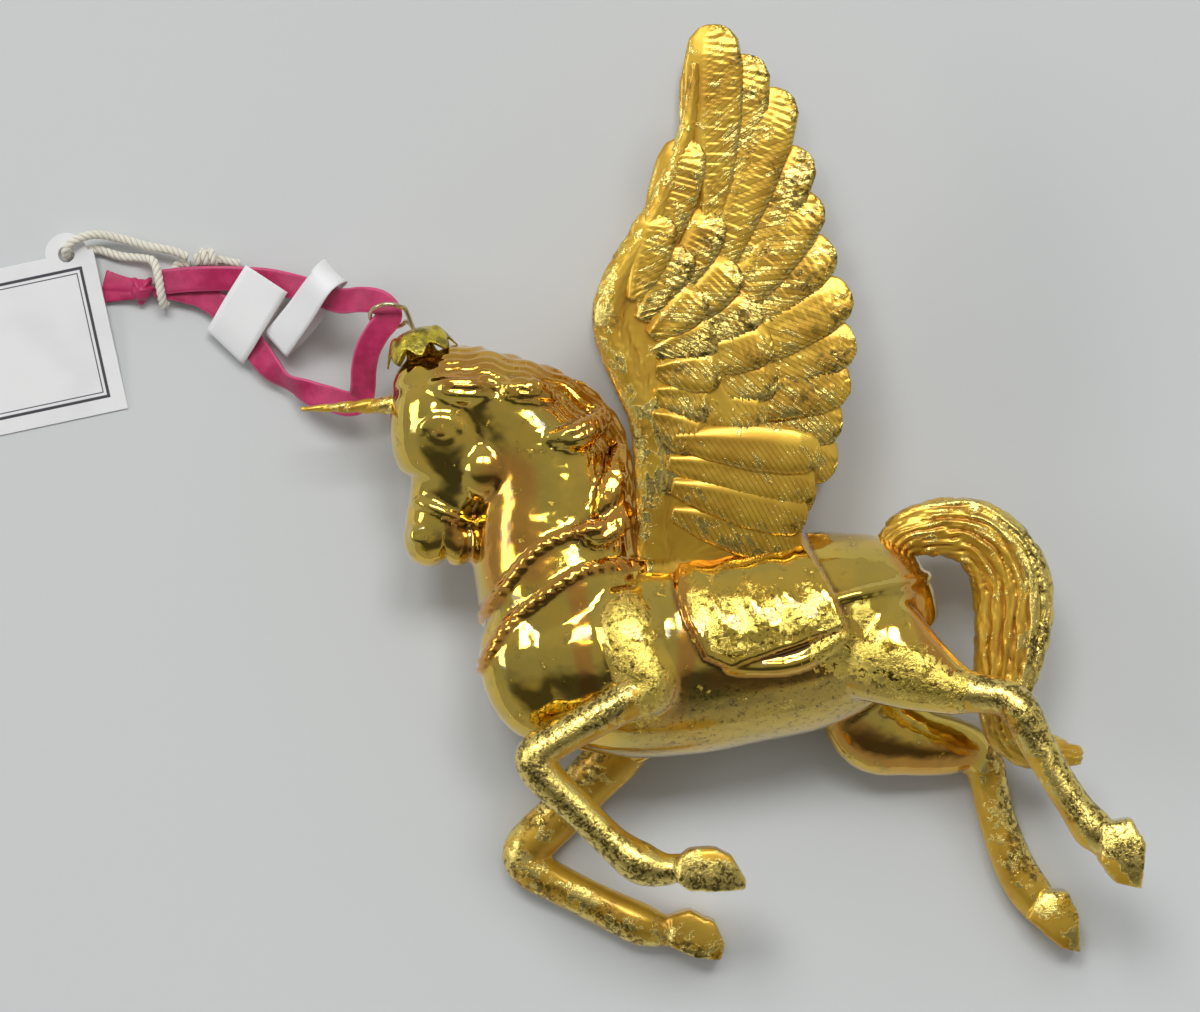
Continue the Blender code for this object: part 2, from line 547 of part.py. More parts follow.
def tail(body_tool):
    """Strands side by side along one curve."""
    run = smooth_points(TAIL, 2)
    depth = TAIL_HALF_DEPTH / MM
    strands = []
    for k in range(TAIL_STRANDS):
        offset = (k + 0.5) / TAIL_STRANDS * 2 - 1
        stations = []
        for i, (x, y, w, half) in enumerate(run):
            ahead, behind = run[min(i + 1, len(run) - 1)], run[max(i - 1, 0)]
            direction = Vector((ahead[0] - behind[0], ahead[1] - behind[1])).normalized()
            shift = offset * half * (1 - 0.8 / TAIL_STRANDS)
            thin = min(1.0, half / 4.0)
            bulge = depth * thin * math.sqrt(1 - 0.7 * offset ** 2)
            stations.append((x - direction.y * shift, y + direction.x * shift, w,
                             1.25 * half / TAIL_STRANDS, bulge))
        strands.append(loft(stations, sides=12, steps=1))
    casting = fused("tail", strands, GOLD_CASTING, CASTING_VOXEL, 2, TAIL_TRIANGLES)
    return boolean(casting, body_tool, "DIFFERENCE")


def feather(root_x, root_y, tip_x, tip_y, width, lift):
    """A flat vane with a round tip and a raised shaft."""
    root, tip = Vector((root_x, root_y)), Vector((tip_x, tip_y))
    half = FEATHER_THICKNESS / MM / 2
    profile = [(0.0, 0.35), (0.25, 0.75), (0.55, 1.0), (0.8, 1.0), (0.93, 0.82), (1.0, 0.4)]
    vane, shaft = [], []
    for along, share in profile:
        spot = root.lerp(tip, along)
        vane.append((spot.x, spot.y, lift, share * width / 2, half))
        shaft.append((spot.x, spot.y, lift + half * 0.6, 0.7 * (1.1 - along), half * (1.1 - along)))
    return [loft(vane, sides=12, steps=2), loft(shaft, sides=8, steps=1)]


def wing_height(y):
    """How far the wing stands from the plane of symmetry, at y along it."""
    start = -12.0 * MM
    climb = 1 - math.exp(-max(y - start, 0.0) / WING_FLARE_LENGTH)
    return WING_ROOT_SPREAD + (WING_TIP_SPREAD - WING_ROOT_SPREAD) * climb


def wing(name, side, body_tool):
    """Layers of feathers on a panel behind an arm, made flat, then flared outward."""
    width = FEATHER_WIDTH / MM
    panel = common(prism(WING_PANEL), ball(0, 5, 0, 60, 60, 1.2))
    shapes = [panel, loft(WING_ARM, sides=14)]
    layers = ((FLIGHT_FEATHERS, width, -0.6), (COVERTS, 0.85 * width, 0.3), (SMALL_COVERTS, 0.8 * width, 1.1))
    for layer, across, lift in layers:
        for k, row in enumerate(layer):
            shapes += feather(*row, across, lift - 0.5 * (k % 2))
    casting = fused(name, shapes, GOLD_CASTING, CASTING_VOXEL, 1, WING_TRIANGLES)
    for vertex in casting.data.vertices:
        local = vertex.co.z - MID_HEIGHT
        vertex.co.z = MID_HEIGHT + side * (wing_height(vertex.co.y) + local)
    if side < 0:
        casting.data.flip_normals()
        lay_down(casting)
    return boolean(casting, body_tool, "DIFFERENCE")


def horn(body_tool):
    """A twisted cone with two flutes."""
    base, tip = place(-55.5, 16.0, 0), place(-75.6, 15.1, 0)
    rings, sides = 15, 10
    axis = (tip - base).normalized()
    across = axis.cross(Vector((0, 0, 1))).normalized()
    upward = across.cross(axis)
    loops = []
    for i in range(rings):
        t = i / (rings - 1)
        radius = HORN_RADIUS + (HORN_TIP_RADIUS - HORN_RADIUS) * t
        twist = 2 * math.pi * HORN_TURNS * t
        loop = []
        for k in range(sides):
            angle = 2 * math.pi * k / sides
            reach = radius * (1 + 0.16 * math.cos(2 * (angle - twist)))
            loop.append(base.lerp(tip, t) + across * reach * math.cos(angle)
                        + upward * reach * math.sin(angle))
        loops.append(loop)
    casting = add("horn", skin(loops), GOLD_CASTING)
    return boolean(casting, body_tool, "DIFFERENCE")


# Cap and wire loop

def neck_cap(body_tool):
    """A crimped foil cap: a turned shell whose skirt waves in and out."""
    sides = 3 * CAP_PETALS
    profile = [(CAP_HOLE_RADIUS, CAP_HEIGHT), (CAP_TOP_RADIUS, CAP_HEIGHT),
               (0.5 * (CAP_TOP_RADIUS + CAP_RADIUS), 0.72 * CAP_HEIGHT), (CAP_RADIUS, 0.0)]
    shape = bmesh.new()
    rows = []
    for radius, height in profile:
        share = max(0.0, (radius - CAP_TOP_RADIUS) / (CAP_RADIUS - CAP_TOP_RADIUS))
        row = []
        for k in range(sides):
            angle = 2 * math.pi * k / sides
            wave = math.cos(CAP_PETALS * angle)
            reach = radius * (1 + 0.06 * share * wave)
            level = height + share * 0.18 * CAP_HEIGHT * (1 - wave)
            row.append(shape.verts.new((reach * math.cos(angle), reach * math.sin(angle), level)))
        rows.append(row)
    for near, far in zip(rows, rows[1:]):
        for k in range(sides):
            j = (k + 1) % sides
            shape.faces.new((near[k], near[j], far[j], far[k]))
    turn = CAP_AXIS.to_track_quat("Z", "Y").to_matrix().to_4x4()
    shape.transform(Matrix.Translation(CAP_SEAT) @ turn)
    bmesh.ops.recalc_face_normals(shape, faces=shape.faces)
    cap = add("neck_cap", shape, CAP_FOIL)
    wall = cap.modifiers.new("wall", "SOLIDIFY")
    wall.thickness = CAP_WALL
    wall.offset = 0.0
    bake(cap)
    return boolean(cap, body_tool, "DIFFERENCE")


def tube(name, points, diameter, surface, bevel_resolution=2):
    """A round wire or string through points."""
    curve = bpy.data.curves.new(name, "CURVE")
    curve.dimensions = "3D"
    curve.bevel_depth = diameter / 2
    curve.bevel_resolution = bevel_resolution
    curve.use_fill_caps = True
    spline = curve.splines.new("POLY")
    spline.points.add(len(points) - 1)
    for target, point in zip(spline.points, points):
        target.co = (*point, 1.0)
    thing = bpy.data.objects.new(name, curve)
    PARTS.objects.link(thing)
    curve.materials.append(surface)
    return thing


def hanger_wire():
    """Two legs up out of the glass neck, and a round loop that leans toward the ribbon."""
    aside = Vector((0, 0, WIRE_LEG_SPREAD / 2))
    deep = CAP_SEAT - CAP_AXIS * (GLASS_NECK_DEPTH - 2 * MM)
    mouth = CAP_SEAT + CAP_AXIS * (CAP_HEIGHT + CAP_WALL)
    centre = mouth + CAP_AXIS * LOOP_RISE - Vector((LOOP_RADIUS, 0, 0))
    ring = []
    for degrees in range(30, 331, 20):
        angle = math.radians(degrees)
        rise = math.sin(angle) * LOOP_RADIUS
        ring.append(centre + Vector((math.cos(angle) * LOOP_RADIUS, rise * math.cos(LOOP_TILT),
                                     rise * math.sin(LOOP_TILT))))
    route = [deep + aside, CAP_SEAT + aside, mouth + aside, *ring]
    route += [mouth - aside, CAP_SEAT - aside, deep - aside]
    return tube("hanger_wire", smooth_points([tuple(point) for point in route], 2), WIRE_DIAMETER,
                BRIGHT_WIRE, 1)


# Ribbon, string, tag and labels: free pieces that lie on the table

def band(name, stations, width, thickness, surface):
    """A flat strip through stations of x, y and z in millimetres and the direction of its width."""
    run = smooth_points([(x, y, z, *across) for x, y, z, across in stations], 2)
    centres = [Vector(row[:3]) * MM for row in run]
    rings = []
    for i, row in enumerate(run):
        tangent = (centres[min(i + 1, len(run) - 1)] - centres[max(i - 1, 0)]).normalized()
        across = Vector(row[3:])
        across = (across - tangent * across.dot(tangent)).normalized() * width / 2
        through = tangent.cross(across).normalized() * thickness / 2
        rings.append([centres[i] + across + through, centres[i] - across + through,
                      centres[i] - across - through, centres[i] + across - through])
    return add(name, skin(rings), surface)


RIBBON_ROUTE = [
    (-103.4, 38.6, 3.1, (0, 1, 0)), (-98.0, 39.2, 3.2, (0, 1, 0)), (-92.5, 39.4, 3.5, (0, 1, 0.2)),
    (-87.9, 39.3, 3.7, (0, 1, 0.2)), (-82.5, 38.9, 4.4, (0.15, 0.9, 0.1)), (-77.0, 37.6, 6.2, (0.3, 0.9, 0)),
    (-72.2, 36.0, 9.8, (0.3, 0.9, 0)), (-68.6, 34.8, 14.2, (0.2, 0.95, 0)), (-65.2, 34.9, 17.6, (0.1, 1, 0)),
    (-62.3, 34.6, 18.6, (0, 1, 0)), (-60.5, 33.6, 18.8, (0.7, 0.7, 0)), (-59.7, 31.8, 18.8, (1, 0.1, 0)),
    (-61.7, 29.2, 18.4, (1, -0.3, 0)), (-63.6, 26.0, 17.1, (1, -0.4, 0)), (-64.5, 22.6, 15.0, (1, -0.1, 0)),
    (-64.8, 19.2, 12.6, (1, 0, 0)), (-65.5, 16.9, 10.8, (0.7, -0.7, 0)), (-67.8, 16.3, 9.4, (0.1, -1, 0)),
    (-71.4, 17.3, 7.6, (-0.1, -1, 0)), (-74.9, 18.4, 6.0, (-0.2, -0.9, -0.3)),
    (-78.8, 20.3, 4.6, (-0.2, -0.5, -0.9)), (-82.0, 22.8, 3.6, (-0.4, -0.8, -0.4)),
    (-84.6, 26.0, 2.8, (-0.7, -0.6, 0)), (-87.4, 29.8, 2.3, (-0.8, -0.6, 0)),
    (-90.9, 33.6, 2.1, (-0.75, -0.65, 0)), (-94.6, 36.2, 2.0, (-0.6, -0.8, 0)),
    (-98.6, 37.4, 2.2, (-0.4, -0.9, 0)), (-103.4, 38.4, 2.3, (0, -1, 0))]

STRING_ROUTE = [
    (-97.4, 43.4, 3.2), (-100.6, 44.6, 3.2), (-105.0, 45.4, 2.8), (-110.0, 46.8, 2.8), (-114.5, 47.4, 3.9),
    (-118.0, 46.3, 4.6), (-119.6, 44.8, 4.3), (-119.8, 43.9, 3.1), (-119.7, 43.8, 1.9), (-118.6, 44.1, 1.0),
    (-114.5, 44.8, 1.0), (-110.0, 43.6, 1.2), (-106.0, 43.2, 2.0), (-103.8, 42.6, 3.6), (-102.8, 40.2, 4.7),
    (-102.2, 36.4, 4.5), (-101.8, 34.4, 2.7), (-101.4, 36.2, 1.0), (-100.7, 39.6, 0.9), (-99.6, 42.0, 0.9),
    (-97.2, 42.2, 1.2)]

LOWER_LABEL_ACROSS = (0.72, -0.69, 0)
LOWER_LABEL_ROUTE = [
    (*point, LOWER_LABEL_ACROSS) for point in (
        (-82.7, 39.3, 1.3), (-86.0, 34.2, 0.8), (-88.9, 29.4, 0.7), (-90.6, 26.9, 2.5), (-88.9, 29.4, 4.5),
        (-86.2, 33.8, 5.7), (-82.7, 39.2, 6.6))]
UPPER_LABEL_ROUTE = [
    (-81.0, 27.4, 2.6, (0.69, -0.73, 0.2)), (-77.0, 31.0, 3.8, (0.69, -0.73, 0.4)),
    (-73.8, 34.8, 5.2, (0.69, -0.73, 0.5)), (-70.0, 40.2, 9.4, (0.69, -0.73, 0.7)),
    (-72.2, 38.2, 14.8, (0.69, -0.73, 0.7)), (-76.6, 32.6, 9.8, (0.69, -0.73, 0.5)),
    (-81.2, 27.2, 4.6, (0.69, -0.73, 0.2))]


def egg(x, y, z, length, width, depth):
    """An egg at a height above the table, all in millimetres."""
    return ball(x, y, z - MID_HEIGHT / MM, length, width, depth)


def from_table(stations):
    """Stations of x, y and height above the table, as loft stations."""
    return [(x, y, z - MID_HEIGHT / MM, half, depth) for x, y, z, half, depth in stations]


def ribbon_knot():
    """The overhand knot of the two ribbon ends, with their tails."""
    upper_tail = [(-106.6, 38.0, 2.4, 1.3, 1.0), (-109.6, 38.6, 1.9, 0.9, 0.5), (-113.0, 39.4, 1.2, 1.1, 0.4)]
    lower_tail = [(-106.6, 36.8, 2.2, 1.3, 1.0), (-109.6, 36.8, 1.6, 0.9, 0.5), (-113.2, 36.8, 0.9, 1.1, 0.4)]
    point = [(-106.0, 37.2, 2.2, 1.6, 1.2), (-106.1, 35.8, 1.8, 1.1, 0.8), (-106.3, 34.7, 1.4, 0.4, 0.4)]
    shapes = [egg(-106.0, 37.4, 2.3, 2.2, 2.0, 1.9)]
    shapes += [loft(from_table(tail_end), sides=12) for tail_end in (upper_tail, lower_tail, point)]
    return fused("ribbon_knot", shapes, SATIN, KNOT_VOXEL, 1, KNOT_TRIANGLES)


def string_knot():
    """The knot in the string, with the short end that runs under the label."""
    short_end = [(-93.0, 42.8, 2.2, 0.8, 0.8), (-90.2, 42.6, 1.7, 0.75, 0.75), (-88.0, 42.2, 1.5, 0.75, 0.75)]
    shapes = [egg(-94.9, 43.4, 2.2, 1.6, 1.9, 2.0), egg(-92.9, 43.6, 2.0, 1.6, 1.7, 1.8)]
    shapes.append(loft(from_table(short_end), sides=12))
    return fused("string_knot", shapes, COTTON, KNOT_VOXEL, 1, KNOT_TRIANGLES)


def hang_tag():
    """A card with a round tab and a hole, one long edge on the table and the other on the string."""
    corner_points, arc = [(0, 0), (0, TAG_HEIGHT)], 12
    for k in range(arc + 1):
        angle = math.pi * k / arc
        corner_points.append((TAG_TAB_FROM_EDGE - TAG_TAB_RADIUS * math.cos(angle),
                              TAG_HEIGHT + TAG_TAB_RADIUS * math.sin(angle)))
    corner_points += [(TAG_WIDTH, TAG_HEIGHT), (TAG_WIDTH, 0)]
    shape = bmesh.new()
    face = shape.faces.new([shape.verts.new((-x, y, 0)) for x, y in corner_points])
    top = bmesh.ops.extrude_face_region(shape, geom=[face])
    raised = [item for item in top["geom"] if isinstance(item, bmesh.types.BMVert)]
    bmesh.ops.translate(shape, verts=raised, vec=(0, 0, CARD_THICKNESS))
    bmesh.ops.recalc_face_normals(shape, faces=shape.faces)
    tilt = Matrix.Rotation(math.asin(TAG_LIFT / TAG_HEIGHT), 4, "X")
    stand = Matrix.Translation(TAG_CORNER) @ Matrix.Rotation(TAG_TURN, 4, "Z") @ tilt
    hole = rod(Vector((0, 0, -CARD_THICKNESS)), Vector((0, 0, 2 * CARD_THICKNESS)), TAG_HOLE_RADIUS, 24)
    hole.transform(stand @ Matrix.Translation((-TAG_TAB_FROM_EDGE, TAG_HEIGHT, 0)))
    shape.transform(stand)
    card = add("hang_tag", shape, CARD)
    return boolean(card, cutter("tag_hole", hole), "DIFFERENCE")


def main():
    body = glass_body()
    body_tool = grown(body, "glass_skin", GLUE_GAP)
    leg("left_foreleg", LEFT_FORELEG, LEFT_FORE_HOOF, body_tool, False)
    leg("right_foreleg", RIGHT_FORELEG, RIGHT_FORE_HOOF, body_tool, True)
    leg("left_hind_leg", LEFT_HIND_LEG, LEFT_HIND_HOOF, body_tool, False)
    leg("right_hind_leg", RIGHT_HIND_LEG, RIGHT_HIND_HOOF, body_tool, True)
    tail(body_tool)
    wing("left_wing", 1, body_tool)
    wing("right_wing", -1, body_tool)
    horn(body_tool)
    neck_cap(body_tool)
    hanger_wire()
    band("ribbon", RIBBON_ROUTE, RIBBON_WIDTH, RIBBON_THICKNESS, SATIN)
    ribbon_knot()
    tube("hang_string", smooth_points([tuple(v * MM for v in point) for point in STRING_ROUTE], 2),
         STRING_DIAMETER, COTTON)
    string_knot()
    hang_tag()
    band("label_lower", LOWER_LABEL_ROUTE, LOWER_LABEL_WIDTH, LABEL_THICKNESS, CARD)
    band("label_upper", UPPER_LABEL_ROUTE, UPPER_LABEL_WIDTH, LABEL_THICKNESS, CARD)
    for thing in PARTS.objects:
        move(thing, DRAWING_ZERO)


main()
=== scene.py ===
# %% [markdown]
# A winged unicorn tree ornament: a blown glass bulb, silvered inside and lacquered gold, with cast horn,
# wings, legs and tail glued on. It lies on its right side on a pale table, seen from straight above.
# The frame gives the size and place of every piece. This lesson makes the surfaces that the eye sees.

# %% The frame
import math

import bmesh
import bpy
import numpy as np
from mathutils import Matrix, Vector


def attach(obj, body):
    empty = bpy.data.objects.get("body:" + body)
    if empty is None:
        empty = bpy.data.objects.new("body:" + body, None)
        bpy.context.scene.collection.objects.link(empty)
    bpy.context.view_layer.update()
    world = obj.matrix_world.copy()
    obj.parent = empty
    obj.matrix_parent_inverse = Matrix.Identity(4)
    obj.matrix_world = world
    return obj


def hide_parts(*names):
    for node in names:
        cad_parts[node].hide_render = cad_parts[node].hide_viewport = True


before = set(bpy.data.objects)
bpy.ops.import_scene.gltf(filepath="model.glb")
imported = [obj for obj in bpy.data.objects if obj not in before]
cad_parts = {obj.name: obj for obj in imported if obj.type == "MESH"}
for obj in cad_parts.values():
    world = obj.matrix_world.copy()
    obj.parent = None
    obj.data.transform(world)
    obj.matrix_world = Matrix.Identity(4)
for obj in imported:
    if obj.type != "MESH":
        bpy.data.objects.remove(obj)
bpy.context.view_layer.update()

bpy.ops.object.select_all(action="DESELECT")
print("nodes:", sorted(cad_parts))

# %% [markdown]
# The drawing is in millimetres, from a point inside the shoulder. Half the animal lies above its plane
# of symmetry and half below, so a place is given by x, y and a height w above that plane.

# %% Scale and place
MM = 0.001
DRAWING_ZERO = Vector((0.67 * MM, 1.34 * MM, 0.0))
BARREL_HALF_WIDTH = 16.0 * MM
TABLE_CLEARANCE = 3.0 * MM
MID_HEIGHT = BARREL_HALF_WIDTH + TABLE_CLEARANCE
HOOF_HALF_DEPTH = 4.0 * MM
HOOF_SPREAD = MID_HEIGHT - HOOF_HALF_DEPTH
WING_HALF_DEPTH = 3.0 * MM
WING_ROOT_SPREAD = 8.0 * MM
WING_TIP_SPREAD = MID_HEIGHT - WING_HALF_DEPTH
WING_FLARE_LENGTH = 24.0 * MM
WING_ROOT_Y = -12.0


def place(x, y, w):
    """The point at x and y millimetres in the plane of symmetry, w millimetres above it."""
    return DRAWING_ZERO + Vector((x * MM, y * MM, MID_HEIGHT + w * MM))


def on_table(x, y, z):
    """The point at x and y millimetres, z millimetres above the table."""
    return DRAWING_ZERO + Vector((x * MM, y * MM, z * MM))


print("plane of symmetry at", round(MID_HEIGHT / MM, 1), "mm")

# %% [markdown]
# The camera hangs straight over the ornament and looks down, with the legs toward the picture's bottom.
# It comes first, since the loose ribbon and string are measured against what it sees.

# %% Camera
CAMERA_HEIGHT = 0.819
CAMERA_OVER = (-0.02111, -0.0010)
VIEW_WIDTH = 0.216
SENSOR_WIDTH = 36.0

camera_data = bpy.data.cameras.new("camera")
camera_data.sensor_width = SENSOR_WIDTH
camera_data.lens = SENSOR_WIDTH * (CAMERA_HEIGHT - MID_HEIGHT) / VIEW_WIDTH
camera_data.clip_start = 0.01
camera = bpy.data.objects.new("camera", camera_data)
camera.location = (*CAMERA_OVER, CAMERA_HEIGHT)
bpy.context.scene.collection.objects.link(camera)
bpy.context.scene.camera = camera
print("lens", round(camera_data.lens, 1), "mm")

# %% [markdown]
# Most shapes here are limbs: rings of points along a line, wider and narrower. The line runs smoothly
# through a few stations, which a Catmull-Rom spline does without leaving any of them out.


# %% Smooth runs and lofts
def smooth_points(points, steps):
    """A smooth run through rows of numbers, with a number of steps from each row to the next."""
    rows = [points[0], *points, points[-1]]
    run = []
    for before, start, end, after in zip(rows, rows[1:], rows[2:], rows[3:]):
        for step in range(steps):
            t = step / steps
            run.append(tuple(
                0.5 * (2 * b + (c - a) * t + (2 * a - 5 * b + 4 * c - d) * t ** 2
                       + (3 * b - a - 3 * c + d) * t ** 3)
                for a, b, c, d in zip(before, start, end, after)))
    run.append(tuple(points[-1]))
    return run


def evenly(points, gap):
    """Points a constant gap apart along a smooth run of places."""
    run = np.array([tuple(p) for p in points])
    steps = np.linalg.norm(np.diff(run, axis=0), axis=1)
    far = np.concatenate(([0.0], np.cumsum(steps)))
    wanted = np.linspace(0.0, far[-1], max(2, int(far[-1] / gap) + 1))
    spots = [np.interp(wanted, far, run[:, axis]) for axis in range(run.shape[1])]
    return [tuple(row) for row in np.stack(spots, axis=1)]


def skin(rings):
    """A closed shape through rings of points, with flat ends."""
    shape = bmesh.new()
    loops = [[shape.verts.new(point) for point in ring] for ring in rings]
    sides = len(loops[0])
    for near, far in zip(loops, loops[1:]):
        for i in range(sides):
            j = (i + 1) % sides
            shape.faces.new((near[i], near[j], far[j], far[i]))
    shape.faces.new(reversed(loops[0]))
    shape.faces.new(loops[-1])
    bmesh.ops.recalc_face_normals(shape, faces=shape.faces)
    return shape


def as_object(name, shape):
    """An object made from a shape."""
    mesh = bpy.data.meshes.new(name)
    shape.to_mesh(mesh)
    shape.free()
    thing = bpy.data.objects.new(name, mesh)
    bpy.context.scene.collection.objects.link(thing)
    return thing


print("smooth runs and skins are ready")

# %% [markdown]
# Legs, neck and locks of hair are limbs: round rings along a line of stations. Cheeks and nostrils are
# eggs, hooves and the card are slabs over a flat outline, and the glass neck is a plain rod.


# %% Limbs, eggs, slabs and rods
def limb(stations, sides=24, steps=6):
    """A limb through stations of x, y, w, half its width in the picture plane and half its depth."""
    run = smooth_points(stations, steps)
    centres = [place(*row[:3]) for row in run]
    rings = []
    for i, (row, centre) in enumerate(zip(run, centres)):
        tangent = centres[min(i + 1, len(run) - 1)] - centres[max(i - 1, 0)]
        across = Vector((-tangent.y, tangent.x, 0)).normalized()
        upward = tangent.cross(across).normalized()
        width, depth = max(row[3], 0.1) * MM, max(row[4], 0.1) * MM
        angles = (2 * math.pi * k / sides for k in range(sides))
        rings.append([centre + across * width * math.cos(a) + upward * depth * math.sin(a)
                      for a in angles])
    return as_object("limb", skin(rings))


def egg(x, y, w, length, width, depth, turn=0.0):
    """An egg of these half sizes in millimetres, turned in the picture plane by an angle in degrees."""
    bpy.ops.mesh.primitive_uv_sphere_add(segments=32, ring_count=20, radius=1.0, location=(0, 0, 0))
    thing = bpy.context.active_object
    size = Matrix.Diagonal((length * MM, width * MM, depth * MM, 1.0))
    turned = Matrix.Rotation(math.radians(turn), 4, "Z")
    thing.data.transform(Matrix.Translation(place(x, y, w)) @ turned @ size)
    return thing


def slab(corners, height):
    """A block of this height over a flat outline of corners."""
    shape = bmesh.new()
    face = shape.faces.new([shape.verts.new(corner) for corner in corners])
    top = bmesh.ops.extrude_face_region(shape, geom=[face])
    raised = [item for item in top["geom"] if isinstance(item, bmesh.types.BMVert)]
    bmesh.ops.translate(shape, verts=raised, vec=(0, 0, height))
    bmesh.ops.recalc_face_normals(shape, faces=shape.faces)
    return shape


def rod(sides, radius, length, matrix):
    """A cylinder, moved by a matrix."""
    bpy.ops.mesh.primitive_cylinder_add(vertices=sides, radius=radius, depth=length)
    thing = bpy.context.active_object
    thing.data.transform(matrix)
    return thing


def mirrored(stations):
    """The same stations on the other side of the plane of symmetry."""
    return [(x, y, -w, *rest) for x, y, w, *rest in stations]


print("a limb of two stations has", len(smooth_points([(0, 0), (1, 1)], 6)), "rings")

# %% [markdown]
# Clay is added in lumps and then rubbed into one skin. Here the lumps are joined, a voxel remesh grows
# one skin over them, and a Smooth modifier rubs out the joints, as a mould maker does with a thumb.


# %% One skin over many lumps
def select_only(things):
    """Selects these objects and makes the first one active."""
    bpy.ops.object.select_all(action="DESELECT")
    for thing in things:
        thing.select_set(True)
    bpy.context.view_layer.objects.active = things[0]


def joined(things, name):
    """Several objects as one."""
    select_only(things)
    if len(things) > 1:
        bpy.ops.object.join()
    thing = bpy.context.active_object
    thing.name = name
    thing.data.name = name
    return thing


def apply_modifier(thing, kind, **settings):
    """Adds a modifier with these settings and applies it."""
    select_only([thing])
    step = thing.modifiers.new(kind.lower(), kind)
    for key, value in settings.items():
        setattr(step, key, value)
    bpy.ops.object.modifier_apply(modifier=step.name)
    return thing


def one_skin(things, name, voxel, rubs):
    """One skin over several objects, rubbed smooth a number of times."""
    thing = joined(things, name)
    apply_modifier(thing, "REMESH", mode="VOXEL", voxel_size=voxel)
    apply_modifier(thing, "SMOOTH", factor=0.5, iterations=rubs)
    thing.data.shade_smooth()
    return thing


print("lumps can be joined under one skin")

# %% [markdown]
# Fine relief and marks are worked out for all points of a mesh at once, with numpy. Places are read as
# rows, moved and written back, and a mark is one number at each point, kept in the mesh under a name.


# %% Points and marks of a mesh
def points_of(thing):
    """The places of a mesh's points, as rows."""
    found = np.empty(len(thing.data.vertices) * 3)
    thing.data.vertices.foreach_get("co", found)
    return found.reshape(-1, 3)


def normals_of(thing):
    """The outward directions at a mesh's points, as rows."""
    found = np.empty(len(thing.data.vertices) * 3)
    thing.data.vertices.foreach_get("normal", found)
    return found.reshape(-1, 3)


def put_points(thing, places):
    """Moves a mesh's points."""
    thing.data.vertices.foreach_set("co", places.astype(np.float32).ravel())
    thing.data.update()


def put_marks(thing, **marks):
    """Stores numbers at the points under these names, for a material to read."""
    for name, values in marks.items():
        layer = thing.data.attributes.new(name, "FLOAT", "POINT")
        layer.data.foreach_set("value", np.full(len(thing.data.vertices), values, dtype=np.float32))


def drawing_places(thing):
    """A mesh's points in drawing millimetres, with the height above the plane of symmetry last."""
    zero = np.array((DRAWING_ZERO.x, DRAWING_ZERO.y, MID_HEIGHT))
    return (points_of(thing) - zero) / MM


print("points can be read, moved and marked")

# %% [markdown]
# A strap or a seam is a line in the picture plane, and a cloth is an outline. The nearest stretch of a
# line tells how far away a place is, on which side and how far along. A place is inside an outline when a
# straight line from it to the far right crosses the outline an odd number of times.


# %% Distances in the picture plane
def beside(places, line, steps=4):
    """How far places lie from a line in the picture plane, which side they are on and how far along."""
    run = np.array(smooth_points(line, steps))[:, :2]
    best = np.full(len(places), 1e9)
    side = np.zeros(len(places))
    along = np.zeros(len(places))
    done = 0.0
    for start, end in zip(run, run[1:]):
        way = end - start
        length = float(np.hypot(*way))
        if length < 1e-6:
            continue
        way = way / length
        offset = places[:, :2] - start
        t = np.clip(offset @ way, 0.0, length)
        miss = offset - t[:, None] * way
        far = np.hypot(miss[:, 0], miss[:, 1])
        nearer = far < best
        best[nearer] = far[nearer]
        side[nearer] = (way[0] * offset[:, 1] - way[1] * offset[:, 0])[nearer]
        along[nearer] = (done + t)[nearer]
        done += length
    return best, side, along


def inside(places, outline):
    """How far places lie inside an outline in the picture plane, below zero outside it."""
    corners = [*outline, outline[0]]
    best, _, _ = beside(places, corners, steps=1)
    crossings = np.zeros(len(places), dtype=int)
    for (x0, y0), (x1, y1) in zip(corners, corners[1:]):
        if y0 == y1:
            continue
        spans = (places[:, 1] > min(y0, y1)) & (places[:, 1] <= max(y0, y1))
        meets = x0 + (places[:, 1] - y0) * (x1 - x0) / (y1 - y0)
        crossings += spans & (meets > places[:, 0])
    return np.where(crossings % 2 == 1, best, -best)


def fade(values, low, high):
    """0 below low, 1 above high, and smooth between."""
    t = np.clip((values - low) / (high - low), 0.0, 1.0)
    return t * t * (3 - 2 * t)


print("distances are ready")

# %% [markdown]
# Lacquer pools in hollows and wears off ridges. A point's neighbours tell which it is on: where their
# average lies outward of the point, the point is in a hollow.

# %% Relief and creases
CREASE_DEPTH = 0.05


def raise_by(thing, heights):
    """Moves a mesh's points outward by heights in millimetres."""
    put_points(thing, points_of(thing) + normals_of(thing) * (heights * MM)[:, None])


def mark_creases(thing, blurs=3):
    """Stores how deep each point lies in a crease, below zero where it stands on a ridge."""
    mesh = thing.data
    edges = np.empty(len(mesh.edges) * 2, dtype=np.int64)
    mesh.edges.foreach_get("vertices", edges)
    edges = edges.reshape(-1, 2)
    count = np.bincount(edges.ravel(), minlength=len(mesh.vertices)).astype(float)
    count[count == 0] = 1.0

    def around(values):
        total = np.zeros_like(values)
        np.add.at(total, edges[:, 0], values[edges[:, 1]])
        np.add.at(total, edges[:, 1], values[edges[:, 0]])
        return total / (count[:, None] if values.ndim > 1 else count)

    places = points_of(thing)
    hollow = np.einsum("ij,ij->i", around(around(places)) - places, normals_of(thing)) / MM
    for _ in range(blurs):
        hollow = 0.4 * hollow + 0.6 * around(hollow)
    put_marks(thing, crease=hollow / CREASE_DEPTH)


print("sculpting tools are ready")

# %% [markdown]
# A finish is a net of shader nodes. Maths on a surface reads best as a formula, so a small class wraps a
# socket and turns Python's operators into Math nodes.


